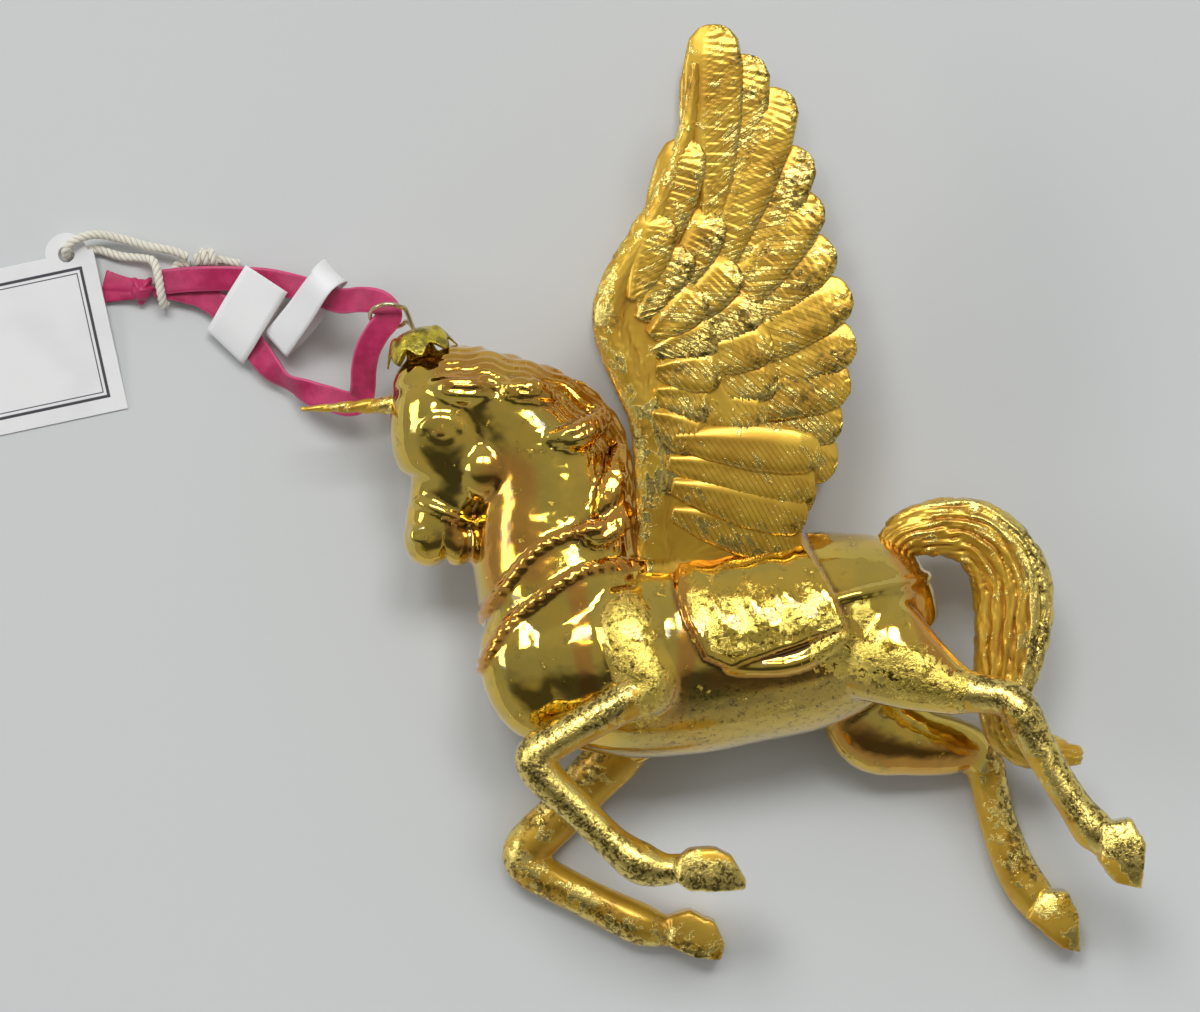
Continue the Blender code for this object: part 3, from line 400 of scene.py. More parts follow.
# %% Shader maths
class Wire:
    """A socket whose value varies over a surface."""

    def __init__(self, finish, socket):
        self.finish = finish
        self.socket = socket

    def maths(self, operation, first, second=0.0):
        return self.finish.node("ShaderNodeMath", {"operation": operation}, {0: first, 1: second})

    def __add__(self, other):
        return self.maths("ADD", self, other)

    def __radd__(self, other):
        return self.maths("ADD", other, self)

    def __sub__(self, other):
        return self.maths("SUBTRACT", self, other)

    def __rsub__(self, other):
        return self.maths("SUBTRACT", other, self)

    def __mul__(self, other):
        return self.maths("MULTIPLY", self, other)

    def __rmul__(self, other):
        return self.maths("MULTIPLY", other, self)

    def __truediv__(self, other):
        return self.maths("DIVIDE", self, other)

    def size(self):
        return self.maths("ABSOLUTE", self)

    def fraction(self):
        return self.maths("FRACT", self)

    def at_least(self, other):
        return self.maths("MAXIMUM", self, other)

    def at_most(self, other):
        return self.maths("MINIMUM", self, other)


print("shader maths is ready")

# %% [markdown]
# A second class holds the net of one material or of the world. Its method node makes any node, with its
# settings first, and the other methods name the few nodes that every finish here uses.


# %% A finish
class Finish:
    """The nodes of a new material, or of the owner that is given."""

    def __init__(self, name, owner=None):
        self.owner = owner or bpy.data.materials.new(name)
        self.owner.use_nodes = True
        self.tree = self.owner.node_tree
        self.tree.nodes.clear()

    def node(self, kind, settings=None, sockets=None, output=0):
        """A node of this kind, with its settings and then its sockets."""
        made = self.tree.nodes.new(kind)
        for key, value in (settings or {}).items():
            if key == "stops":
                ramp = made.color_ramp
                ramp.elements[0].position, ramp.elements[0].color = value[0]
                ramp.elements[1].position, ramp.elements[1].color = value[-1]
                for position, colour in value[1:-1]:
                    ramp.elements.new(position).color = colour
            else:
                setattr(made, key, value)
        for key, value in (sockets or {}).items():
            if isinstance(value, Wire):
                self.tree.links.new(value.socket, made.inputs[key])
            else:
                made.inputs[key].default_value = value
        return Wire(self, made.outputs[output])

    def place(self):
        """The place on the object, in metres."""
        return self.node("ShaderNodeTexCoord", output=3)

    def mark(self, name):
        """A number stored at the mesh's points."""
        return self.node("ShaderNodeAttribute", {"attribute_name": name}, output=2)

    def noise(self, size, detail, rough, vector=None, warp=0.0):
        """Cloudy variation with lumps of this size in metres."""
        return self.node("ShaderNodeTexNoise", {}, {
            "Vector": vector or self.place(), "Scale": 1.0 / size, "Detail": detail, "Roughness": rough,
            "Distortion": warp})

    def step(self, value, low, high):
        """A smooth change from 0 to 1 while a value goes from low to high."""
        return self.node("ShaderNodeMapRange", {"interpolation_type": "SMOOTHSTEP"}, {
            0: value, 1: low, 2: high})

    def blend(self, share, first, second):
        """A colour between two."""
        return self.node("ShaderNodeMix", {"data_type": "RGBA"}, {0: share, 6: first, 7: second}, output=2)

    def bump(self, height, depth):
        """A surface direction from a height, where 1 is depth metres high."""
        return self.node("ShaderNodeBump", {}, {"Height": height, "Distance": depth})

    def surface(self, **sockets):
        """The finished surface."""
        named = {key.replace("_", " "): value for key, value in sockets.items()}
        return self.send_out(self.node("ShaderNodeBsdfPrincipled", {}, named), "ShaderNodeOutputMaterial")

    def send_out(self, shader, kind):
        """Links a shader to an output node of this kind, and gives back the owner."""
        out = self.tree.nodes.new(kind)
        self.tree.links.new(shader.socket, out.inputs["Surface"])
        return self.owner


def colour(red, green, blue):
    """A colour in linear light."""
    return (red, green, blue, 1.0)


print("finishes can be made")

# %% [markdown]
# The ribbon is a satin loop about 5 mm wide. It leaves its knot, passes through the wire loop and comes
# back. A ribbon turns over as it bends, so each station also says which way its width points.

# %% Ribbon route
RIBBON_WIDTH = 4.6 * MM
RIBBON_THICKNESS = 0.4 * MM
RIBBON_ROUTE = [
    (-103.4, 38.6, 3.1, (0, 1, 0)), (-98.0, 39.2, 3.2, (0, 1, 0)), (-92.5, 39.4, 3.5, (0, 1, 0.2)),
    (-87.9, 39.3, 3.7, (0, 1, 0.2)), (-82.5, 38.9, 4.4, (0.15, 0.9, 0.1)), (-77.0, 37.6, 6.2, (0.3, 0.9, 0)),
    (-72.2, 36.0, 9.8, (0.3, 0.9, 0)), (-68.6, 34.8, 14.2, (0.2, 0.95, 0)), (-65.2, 34.9, 17.6, (0.1, 1, 0)),
    (-62.3, 34.6, 18.6, (0, 1, 0)), (-60.5, 33.6, 18.8, (0.7, 0.7, 0)), (-59.7, 31.8, 18.8, (1, 0.1, 0)),
    (-61.7, 29.2, 18.4, (1, -0.3, 0)), (-63.6, 26.0, 17.1, (1, -0.4, 0)), (-64.5, 22.6, 15.0, (1, -0.1, 0)),
    (-64.8, 19.2, 12.6, (1, 0, 0)), (-65.5, 16.9, 10.8, (0.7, -0.7, 0)), (-67.8, 16.3, 9.4, (0.1, -1, 0)),
    (-71.4, 17.3, 7.6, (-0.1, -1, 0)), (-74.9, 18.4, 6.0, (-0.2, -0.9, -0.3)),
    (-78.8, 20.3, 4.6, (-0.2, -0.5, -0.9)), (-82.0, 22.8, 3.6, (-0.4, -0.8, -0.4)),
    (-84.6, 26.0, 2.8, (-0.7, -0.6, 0)), (-87.4, 29.8, 2.3, (-0.8, -0.6, 0)),
    (-90.9, 33.6, 2.1, (-0.75, -0.65, 0)), (-94.6, 36.2, 2.0, (-0.6, -0.8, 0)),
    (-98.6, 37.4, 2.2, (-0.4, -0.9, 0)), (-103.4, 38.4, 2.3, (0, -1, 0))]
BAND_STEPS, BAND_COLUMNS = 8, 8


def run_length(points):
    """The length of a run of places."""
    return sum((Vector(b) - Vector(a)).length for a, b in zip(points, points[1:]))


def band(name, stations, width, thickness, hem=0.0):
    """A flat strip through stations of x, y, z in millimetres and the way its width points."""
    run = smooth_points([(*on_table(x, y, z), *across) for x, y, z, across in stations], BAND_STEPS)
    centres = [Vector(row[:3]) for row in run]
    rings, rows = [], []
    far = 0.0
    for i, row in enumerate(run):
        if i:
            far += (centres[i] - centres[i - 1]).length
        tangent = (centres[min(i + 1, len(run) - 1)] - centres[max(i - 1, 0)]).normalized()
        across = Vector(row[3:])
        across = (across - tangent * across.dot(tangent)).normalized()
        through = tangent.cross(across).normalized()
        ring = []
        for face in (1, -1):
            for k in range(BAND_COLUMNS + 1):
                share = (1 - 2 * k / BAND_COLUMNS) * face
                edge = abs(share) ** 12
                half = thickness / 2 * (1 + hem * abs(share) ** 6 - edge * 0.5)
                ring.append(centres[i] + across * share * width / 2 + through * face * half)
                rows.append((share, far / MM))
        rings.append(ring)
    thing = as_object(name, skin(rings))
    thing.data.shade_smooth()
    across, along = np.array(rows).T
    put_marks(thing, across=across, along=along)
    return thing, centres


ribbon, ribbon_path = band("satin_ribbon", RIBBON_ROUTE, RIBBON_WIDTH, RIBBON_THICKNESS, hem=0.5)
print("ribbon", round(run_length(ribbon_path) / MM, 1), "mm long")

# %% [markdown]
# The string is three yarns twisted together. A tube whose section is a clover, turned as it goes along,
# gives the lay of the yarns in real geometry, so the outline is twisted too.

# %% String route
STRING_DIAMETER = 1.6 * MM
STRING_ROUTE = [
    (-97.4, 43.4, 3.2), (-100.6, 44.6, 3.2), (-105.0, 45.4, 2.8), (-110.0, 46.8, 2.8), (-114.5, 47.4, 3.9),
    (-118.0, 46.3, 4.6), (-119.6, 44.8, 4.3), (-119.8, 43.9, 3.1), (-119.7, 43.8, 1.9), (-118.6, 44.1, 1.0),
    (-114.5, 44.8, 1.0), (-110.0, 43.6, 1.2), (-106.0, 43.2, 2.0), (-103.8, 42.6, 3.6), (-102.8, 40.2, 4.7),
    (-102.2, 36.4, 4.5), (-101.8, 34.4, 2.7), (-101.4, 36.2, 1.0), (-100.7, 39.6, 0.9), (-99.6, 42.0, 0.9),
    (-97.2, 42.2, 1.2)]
YARNS = 3
YARN_LAY = 3.4 * MM
STRING_SIDES = 18


def twisted(name, points, diameter, gap):
    """A cord of twisted yarns through places."""
    run = [Vector(p) for p in evenly(points, gap)]
    rings, rows = [], []
    side = Vector((0, 0, 1))
    for i, centre in enumerate(run):
        tangent = (run[min(i + 1, len(run) - 1)] - run[max(i - 1, 0)]).normalized()
        side = (side - tangent * side.dot(tangent)).normalized()
        other = tangent.cross(side)
        turn = 2 * math.pi * i * gap / YARN_LAY
        ring = []
        for k in range(STRING_SIDES):
            angle = 2 * math.pi * k / STRING_SIDES
            lobe = abs(math.cos(YARNS / 2 * (angle - turn)))
            reach = diameter / 2 * (0.80 + 0.24 * lobe)
            ring.append(centre + side * reach * math.cos(angle) + other * reach * math.sin(angle))
            rows.append(lobe)
        rings.append(ring)
    thing = as_object(name, skin(rings))
    thing.data.shade_smooth()
    put_marks(thing, yarn=rows)
    return thing, run


string_places = smooth_points([tuple(on_table(*spot)) for spot in STRING_ROUTE], 8)
string, string_path = twisted("cotton_string", string_places, STRING_DIAMETER, 0.22 * MM)
print("string", round(run_length(string_path) / MM, 1), "mm long")

# %% [markdown]
# The bulb is one blown piece: trunk, neck, head, shoulders and haunches. Each limb is a row of stations
# of x, y, w, half its height and half its width, all in millimetres.

# %% Stations of the trunk, neck and head
BARREL, NECK, HEAD = 16.0, 11.0, 9.0
TRUNK_STATIONS = [
    (37.4, -24.2, 0, 3.0, 0.3 * BARREL), (33.6, -21.4, 0, 7.8, 0.6 * BARREL),
    (29.8, -20.8, 0, 13.4, 0.88 * BARREL), (23.2, -22.7, 0, 16.6, 1.0 * BARREL),
    (14.2, -25.2, 0, 17.8, 1.02 * BARREL), (3.4, -27.3, 0, 18.0, 1.0 * BARREL),
    (-7.4, -28.8, 0, 18.5, 0.97 * BARREL), (-18.2, -29.2, 0, 18.4, 0.97 * BARREL),
    (-28.1, -29.7, 0, 15.8, 0.92 * BARREL), (-35.3, -29.4, 0, 11.0, 0.75 * BARREL),
    (-40.3, -28.6, 0, 5.4, 0.42 * BARREL)]
NECK_STATIONS = [
    (-24.4, -28.3, 0, 16.6, 1.25 * NECK), (-28.0, -17.8, 0, 16.0, 1.2 * NECK),
    (-30.2, -8.5, 0, 14.9, 1.08 * NECK), (-30.6, 0.5, 0, 13.6, 0.96 * NECK),
    (-33.5, 8.3, 0, 12.2, 0.88 * NECK), (-38.9, 14.6, 0, 10.0, 0.84 * NECK),
    (-45.5, 18.9, 0, 8.0, 0.78 * NECK), (-51.5, 21.2, 0, 5.8, 0.6 * NECK)]
HEAD_STATIONS = [
    (-48.2, 21.8, 0, 6.0, 0.72 * HEAD), (-49.9, 17.1, 0, 8.8, 0.92 * HEAD),
    (-50.2, 13.1, 0, 9.6, 1.0 * HEAD), (-49.2, 8.3, 0, 10.0, 0.98 * HEAD),
    (-48.6, 2.7, 0, 8.2, 0.82 * HEAD), (-50.0, -1.6, 0, 6.3, 0.62 * HEAD),
    (-50.9, -5.8, 0, 6.0, 0.62 * HEAD), (-51.1, -9.7, 0, 5.2, 0.55 * HEAD),
    (-50.9, -12.0, 0, 3.2, 0.36 * HEAD)]
LEFT_SHOULDER = [
    (-17.5, -18.5, 9, 5.0, 4.0), (-17.0, -24.0, 11.5, 7.2, 5.2), (-15.0, -29.5, 12.5, 6.4, 5.4),
    (-12.8, -33.6, 13.2, 5.4, 4.9), (-15.5, -36.0, 13.8, 4.3, 3.9), (-20.0, -38.4, 14.4, 2.6, 2.4)]
RIGHT_SHOULDER = [
    (-15.5, -22.0, -9, 5.0, 4.0), (-13.5, -30.0, -10.5, 6.6, 5.2), (-12.2, -38.5, -10.8, 5.8, 5.0),
    (-15.0, -44.2, -11.2, 5.2, 4.2), (-19.2, -48.2, -12.6, 3.2, 2.6)]
LEFT_THIGH = [
    (22.5, -24.5, 9, 5.0, 4.0), (27.0, -27.2, 10.5, 9.8, 6.2), (33.5, -31.2, 11.5, 7.8, 5.8),
    (39.5, -34.2, 12.6, 5.3, 4.6), (43.0, -35.2, 13.2, 4.1, 3.7), (47.5, -35.9, 14.0, 2.4, 2.2)]
RIGHT_THIGH = [
    (22.5, -30.0, -9, 6.0, 4.0), (28.0, -41.5, -10.5, 9.0, 5.8), (35.5, -45.0, -11.5, 6.8, 5.4),
    (42.6, -46.2, -12.6, 5.4, 4.7), (46.0, -47.3, -13.3, 4.4, 3.9), (49.0, -50.8, -14.6, 2.6, 2.4)]
print("trunk", len(TRUNK_STATIONS), "stations, neck", len(NECK_STATIONS), "and head", len(HEAD_STATIONS))

# %% Stations of the mane and ears
CREST = [
    (-47.0, 22.5, 0, 2.6, 4.2), (-41.5, 22.6, 0, 3.0, 4.4), (-33.0, 20.2, 0, 3.2, 4.4),
    (-25.5, 16.2, 0, 3.4, 4.2), (-20.6, 10.2, 0, 3.4, 4.2), (-18.8, 1.5, 0, 3.4, 4.4),
    (-18.0, -6.0, 0, 3.0, 4.6)]
MANE_LOCKS = [
    [(-40.5, 19.0, 7.0, 0.8, 0.8), (-37.5, 18.2, 8.2, 2.2, 1.8), (-33.2, 18.2, 8.2, 2.3, 1.8),
     (-29.6, 17.0, 7.2, 0.7, 0.7)],
    [(-20.6, 14.4, 4.5, 1.4, 1.6), (-23.4, 11.6, 8.0, 2.6, 2.0), (-27.2, 9.9, 9.4, 2.4, 1.7),
     (-31.4, 9.8, 9.4, 0.7, 0.7)],
    [(-18.2, 8.5, 5.0, 1.4, 1.8), (-18.9, 3.6, 8.6, 2.3, 2.2), (-20.4, -0.8, 10.2, 2.2, 1.9),
     (-22.6, -4.0, 10.8, 0.8, 0.8)],
    [(-17.4, -0.5, 6.5, 1.5, 2.0), (-18.6, -5.2, 10.4, 2.4, 2.2), (-22.0, -7.6, 12.0, 2.2, 1.7),
     (-26.0, -5.8, 12.0, 0.7, 0.7)]]
EAR = [
    (-52.2, 18.9, 6.0, 1.2, 1.4), (-49.0, 18.6, 8.0, 2.4, 1.9), (-44.5, 18.3, 8.6, 2.4, 1.7),
    (-40.2, 18.0, 8.4, 0.9, 0.8)]
print(len(MANE_LOCKS), "locks on each side")

# %% The bulb's lumps under one skin
CAP_SEAT = place(-53.7, 24.5, 0)
CAP_AXIS = Vector((-0.32, 0.95, 0.0)).normalized()
CAP_HEIGHT = 4.8 * MM
GLASS_NECK_RADIUS, GLASS_NECK_LENGTH = 2.7 * MM, 10.0 * MM
BODY_VOXEL = 0.55 * MM

lumps = [limb(stations, sides=40, steps=8) for stations in (TRUNK_STATIONS, NECK_STATIONS, HEAD_STATIONS)]
lumps += [limb(stations) for stations in (LEFT_SHOULDER, RIGHT_SHOULDER, LEFT_THIGH, RIGHT_THIGH, CREST)]
lumps += [egg(-33.6, -31.2, side * 5.5, 9.6, 13.6, 8.0, turn=12) for side in (1, -1)]
lumps += [egg(-52.6, -8.2, 0, 4.7, 5.2, 5.4), egg(-47.4, -8.8, 0, 3.3, 4.5, 4.4)]
lumps.append(egg(-52.4, 20.2, 0, 6.9, 5.2, 6.0, turn=18))
for side in (1, -1):
    lumps.append(egg(-42.6, 4.3, side * 4.4, 5.2, 5.6, 4.6))
    lumps.append(egg(-50.2, 10.9, side * 7.3, 2.0, 1.7, 2.0))
    lumps.append(egg(-51.4, 13.6, side * 6.4, 3.0, 1.8, 2.4, turn=-15))
    lumps.append(egg(-54.4, -7.6, side * 3.8, 1.7, 2.0, 1.8))
for lock in [*MANE_LOCKS, EAR]:
    lumps += [limb(lock, sides=16), limb(mirrored(lock), sides=16)]

upright = CAP_AXIS.to_track_quat("Z", "Y").to_matrix().to_4x4()
neck_place = Matrix.Translation(CAP_SEAT - CAP_AXIS * 1.0 * MM) @ upright
lumps.append(rod(32, GLASS_NECK_RADIUS, GLASS_NECK_LENGTH, neck_place))

body = one_skin(lumps, "unicorn_glass", BODY_VOXEL, 7)
print("bulb", len(body.data.polygons), "faces")

# %% [markdown]
# The mould also has fine relief: a saddle cloth, rope-like collars, a strap, hair and the lines of the
# face. They follow the skin, so each is a line or an outline in the picture plane, and the points near
# it move outward by a height. This keeps their edges crisp, which a remesh would melt.

# %% Lines of the relief
SADDLE_CLOTH = [
    (-8.2, -17.0), (-6.6, -22.5), (-3.2, -29.2), (1.4, -31.0), (5.8, -29.4), (14.1, -26.6),
    (21.7, -23.7), (19.3, -17.6), (15.2, -10.0), (13.6, -2.0), (-6.0, -2.0), (-8.0, -9.2)]
SADDLE_FOLD = [(1.4, -30.5), (8.0, -30.8), (14.5, -29.6), (21.0, -25.2)]
UPPER_COLLAR = [
    (-45.0, -25.0), (-42.7, -21.5), (-38.3, -16.2), (-33.9, -11.0), (-29.2, -8.0), (-22.0, -5.8)]
LOWER_COLLAR = [
    (-43.5, -31.6), (-41.5, -28.3), (-38.3, -23.6), (-32.4, -18.8), (-24.1, -13.6), (-11.5, -12.3)]
CRUPPER = [(20.5, -18.7), (26.2, -17.3), (30.1, -16.5), (37.0, -15.0)]
NOSEBAND = [(-54.5, -1.6), (-51.5, -2.6), (-48.5, -4.0), (-44.5, -5.4)]
MOUTH = [(-49.4, -4.6), (-49.3, -8.0), (-49.5, -12.6)]
EYE = (-50.2, 10.7)
BROW = [(-53.4, 11.6), (-51.4, 13.2), (-48.4, 13.0), (-46.6, 11.6)]
NOSTRIL = (-54.4, -7.4)
ROPE_LAY = 2.1


print("lines of the relief drawn")

# %% [markdown]
# A strap is a rounded bead, a collar is a bead with the lay of a rope, and hair is grooves side by side.
# Each helper turns distances into heights.


# %% Relief helpers
def bead(places, line, half, height):
    """A rounded bead along a line."""
    far, _, _ = beside(places, line)
    return height * np.sqrt(np.clip(1 - (far / half) ** 2, 0.0, 1.0))


def rope(places, line, half, height):
    """A bead with the lay of twisted strands."""
    far, side, along = beside(places, line)
    lay = 0.72 + 0.28 * np.cos(2 * math.pi * (along / ROPE_LAY + side / (2.2 * half)))
    return height * lay * np.sqrt(np.clip(1 - (far / half) ** 2, 0.0, 1.0))


def combed(places, line, reach, gap, height):
    """Grooves side by side along a line, like hair, fading at reach."""
    far, side, along = beside(places, line, steps=6)
    sway = 0.35 * np.sin(along * 0.9)
    return height * np.cos(2 * math.pi * (side + sway) / gap) * (1 - fade(far, 0.6 * reach, reach))


def spot(places, middle):
    """How far places lie from a point in the picture plane."""
    return np.hypot(places[:, 0] - middle[0], places[:, 1] - middle[1])


def almond(places, middle, length, height, turn):
    """How far places lie from a point, where 1 is the edge of an oval turned by an angle in degrees."""
    across, up = places[:, 0] - middle[0], places[:, 1] - middle[1]
    cosine, sine = math.cos(math.radians(turn)), math.sin(math.radians(turn))
    return np.hypot((across * cosine + up * sine) / length, (up * cosine - across * sine) / height)


def ripple(value, middle, width):
    """A soft bump in a value around a middle."""
    return np.exp(-((value - middle) / width) ** 2)


print("relief helpers are ready")

# %% Relief of the bulb
where = drawing_places(body)
outer = fade(np.abs(where[:, 2]), 1.0, 4.0)
cloth = inside(where, SADDLE_CLOTH)
relief = 1.3 * fade(cloth, -0.25, 0.45) - 0.25 * ripple(cloth, 1.6, 0.35)
relief += fade(cloth, 0.0, 1.0) * 0.16 * np.sin(where[:, 0] * 0.9 + 0.5 * where[:, 1]) * outer
relief = np.maximum(relief, bead(where, SADDLE_FOLD, 1.4, 0.9))
relief = np.maximum(relief, bead(where, CRUPPER, 1.0, 0.8))
relief += rope(where, UPPER_COLLAR, 1.1, 0.85) * (where[:, 1] > -26.5)
relief += rope(where, LOWER_COLLAR, 1.1, 0.85) * (where[:, 0] < -10.5)
relief += bead(where, NOSEBAND, 1.0, 0.8)
relief -= 0.4 * ripple(beside(where, MOUTH)[0], 0.0, 0.35)
for lock in MANE_LOCKS:
    relief += combed(where, lock, 3.0, 0.95, 0.13) * outer
    relief -= 0.35 * ripple(beside(where, lock[1:3])[0], 0.0, 0.45) * outer
relief += combed(where, CREST, 5.6, 1.15, 0.2)
relief -= 0.5 * ripple(beside(where, EAR[1:])[0], 0.0, 0.55) * outer
eye = almond(where, EYE, 2.0, 1.25, -20)
relief += outer * (0.30 * ripple(eye, 1.0, 0.28) + 0.26 * ripple(eye, 0.0, 0.5))
relief += outer * bead(where, BROW, 0.9, 0.35)
nostril_far = spot(where, NOSTRIL)
relief += outer * (0.12 * ripple(nostril_far, 1.35, 0.4) - 0.35 * ripple(nostril_far, 0.0, 0.6))
raise_by(body, relief)
apply_modifier(body, "SMOOTH", factor=0.5, iterations=1)
print("relief from", round(relief.min(), 2), "to", round(relief.max(), 2), "mm")

# %% [markdown]
# The silvering shows through lacquer that pooled as amber in the hollows and beside the glued joints.
# Gold leaf was rubbed over the cloth, shoulder and haunch, and the belly is mottled where the leaf came
# off. All three are stored as marks at the points, so that the finish can break them up with noise.

# %% Marks for lacquer and leaf on the bulb
AMBER_LINES = [
    ([(-26.0, -16.5), (-25.2, -24.0), (-24.4, -31.0), (-23.0, -37.5)], 2.6),
    ([(-8.0, -14.0), (-6.4, -21.0), (-6.4, -29.0), (-8.4, -39.0)], 2.6),
    ([(-12.8, -9.0), (-5.6, -11.6), (2.5, -10.2), (14.6, -7.2)], 3.0),
    ([(31.0, -9.0), (34.0, -16.0), (35.6, -24.0), (39.5, -32.0)], 3.0),
    ([(-48.2, -5.0), (-47.0, -8.0), (-45.5, -11.0)], 2.6),
    ([(-41.5, -8.0), (-41.0, -13.0), (-39.5, -18.5)], 2.4),
    ([(-38.5, 3.0), (-38.0, -5.0), (-34.0, -12.0)], 8.0),
    ([(23.0, -43.0), (32.0, -48.0), (44.0, -48.0)], 5.0),
    ([(-2.0, -33.0), (8.0, -33.5), (20.0, -30.5)], 2.8)]
LEAF_LINES = [
    ([(-17.0, -22.0), (-16.4, -28.0), (-13.6, -33.0), (-14.8, -36.5)], 6.5),
    ([(19.6, -26.5), (27.0, -30.0), (35.0, -32.6), (43.0, -35.4)], 7.0),
    ([(24.0, -20.0), (26.0, -25.0)], 2.8)]
MOTTLED_LINES = [([(-12.0, -41.0), (-4.0, -40.0), (6.0, -40.5), (16.0, -38.5), (22.0, -36.0)], 10.0)]


def near_lines(places, lines):
    """1 on any of these lines, down to 0 at each one's reach."""
    marks = np.zeros(len(places))
    for line, reach in lines:
        marks = np.maximum(marks, 1 - fade(beside(places, line)[0], 0.25 * reach, reach))
    return marks


where = drawing_places(body)
amber = near_lines(where, AMBER_LINES)
amber = np.maximum(amber, 0.85 * (1 - fade(beside(where, CREST)[0], 3.0, 6.5)))
amber = np.maximum(amber, 0.8 * ripple(cloth, 0.0, 0.9))
for collar in (UPPER_COLLAR, LOWER_COLLAR):
    amber = np.maximum(amber, 1.2 * (1 - fade(beside(where, collar)[0], 0.6, 2.0)))
leaf = near_lines(where, LEAF_LINES)
leaf = np.maximum(leaf, 0.70 * fade(cloth, 0.4, 2.0) * fade(-where[:, 1], 13.5, 19.0))
leaf *= 1 - 0.8 * fade(cloth, 0.0, 1.0) * fade(-where[:, 1], 27.0, 30.0)
amber = np.maximum(amber, 1.1 * ripple(eye, 0.0, 0.55) * outer)
mottle = near_lines(where, MOTTLED_LINES)
put_marks(body, amber=amber, leaf=leaf, mottle=mottle)
mark_creases(body)
print("amber on", round(100 * amber.mean()), "% and leaf on", round(100 * leaf.mean()), "%")

# %% [markdown]
# The legs are castings glued to the bulb, each with its hoof. A hoof is a wedge in the picture plane,
# rounded toward both faces: what a prism and an egg have in common.

# %% Stations of the legs
LEFT_FORELEG = [
    (-13.6, -33.6, 13.6, 3.4, 3.2), (-15.5, -35.6, 14.2, 3.9, 3.5), (-21.8, -39.3, 14.6, 3.6, 3.2),
    (-28.8, -43.3, 15, 3.3, 3.0), (-33.2, -46.4, 15, 3.6, 3.4), (-31.4, -50.4, 15, 3.5, 3.3),
    (-26.2, -55.3, 15, 3.1, 2.9), (-19.7, -61.7, 15, 3.1, 2.9), (-14.6, -65.4, 15, 3.8, 3.4),
    (-10.5, -66.5, 15, 3.0, 2.8), (-7.3, -66.1, 15, 2.5, 2.5), (-4.6, -66.2, 15, 3.2, 3.1),
    (-1.5, -66.8, 15, 2.6, 3.0)]
RIGHT_FORELEG = [
    (-13.8, -41.6, -11.6, 4.2, 3.6), (-18.4, -47.4, -12.4, 5.0, 3.8), (-23.6, -52.6, -13.4, 4.8, 3.6),
    (-29.6, -59.4, -14.2, 4.4, 3.4), (-35.2, -65.2, -15, 4.3, 3.6), (-34.4, -68.7, -15, 3.9, 3.5),
    (-29.1, -71.8, -15, 3.6, 3.2), (-21.8, -75.5, -15, 3.6, 3.1), (-14.4, -79.0, -15, 3.9, 3.4),
    (-10.4, -80.1, -15, 3.1, 2.9), (-7.5, -80.1, -15, 3.1, 2.9), (-4.8, -80.6, -15, 3.7, 3.3),
    (-2.4, -81.4, -15, 2.8, 3.0)]
LEFT_HIND_LEG = [
    (39.0, -34.0, 12.7, 2.8, 2.6), (42.4, -35.0, 13.2, 3.9, 3.5), (46.4, -35.6, 13.8, 3.4, 3.2),
    (50.2, -36.3, 14.4, 3.4, 3.2), (52.7, -38.9, 15, 3.5, 3.2), (55.3, -44.1, 15, 3.2, 2.8),
    (58.9, -50.3, 15, 3.0, 2.7), (62.4, -55.7, 15, 3.1, 2.9), (65.2, -59.3, 15, 3.7, 3.3),
    (67.4, -61.4, 15, 3.1, 2.9), (69.6, -63.0, 15, 3.8, 3.4), (71.2, -64.4, 15, 2.8, 3.0)]
RIGHT_HIND_LEG = [
    (42.4, -46.0, -12.8, 2.8, 2.6), (45.6, -47.0, -13.4, 4.2, 3.7), (48.3, -49.2, -14.4, 3.9, 3.4),
    (49.5, -52.9, -15, 3.5, 3.1), (50.6, -58.0, -15, 3.4, 3.0), (52.6, -64.4, -15, 3.6, 3.1),
    (54.8, -69.4, -15, 3.8, 3.3), (57.0, -73.0, -15, 3.9, 3.3), (59.0, -75.4, -15, 3.6, 3.1),
    (61.0, -77.2, -15, 3.8, 3.3), (62.6, -79.0, -15, 3.0, 3.0)]
LEFT_FORE_HOOF = [
    (-8.2, -64.2), (-6.2, -62.6), (-2.0, -62.3), (1.4, -64.0), (4.0, -68.2), (3.9, -70.0), (-5.9, -70.4),
    (-8.6, -68.6)]
RIGHT_FORE_HOOF = [
    (-9.4, -77.2), (-5.4, -75.9), (-0.8, -78.4), (1.2, -82.6), (0.3, -85.4), (-4.6, -84.9), (-9.3, -83.0)]
LEFT_HIND_HOOF = [(67.0, -58.0), (72.0, -57.1), (74.3, -61.8), (73.7, -69.8), (69.1, -68.7), (66.0, -65.0)]
RIGHT_HIND_HOOF = [(58.7, -72.4), (63.9, -72.6), (65.8, -77.4), (66.2, -84.1), (62.7, -83.2), (55.8, -77.7)]
print("four legs of", len(LEFT_FORELEG), "stations or fewer")

# %% Legs
LEG_VOXEL = 0.36 * MM
DRAWN_SPREAD = 15.0
PRISM_REACH = 30


def prism(outline):
    """A block with this outline in the picture plane, right through the body."""
    return as_object("prism", slab([place(x, y, -PRISM_REACH) for x, y in outline], 2 * PRISM_REACH * MM))


def common(thing, other):
    """What two objects have in common."""
    apply_modifier(thing, "BOOLEAN", operation="INTERSECT", solver="EXACT", object=other)
    bpy.data.objects.remove(other)
    return thing


def hoof(outline, w):
    """A wedge of this outline, rounded toward both faces."""
    middle_x = sum(x for x, _ in outline) / len(outline)
    middle_y = sum(y for _, y in outline) / len(outline)
    return common(prism(outline), egg(middle_x, middle_y, w, 9, 9, HOOF_HALF_DEPTH / MM))


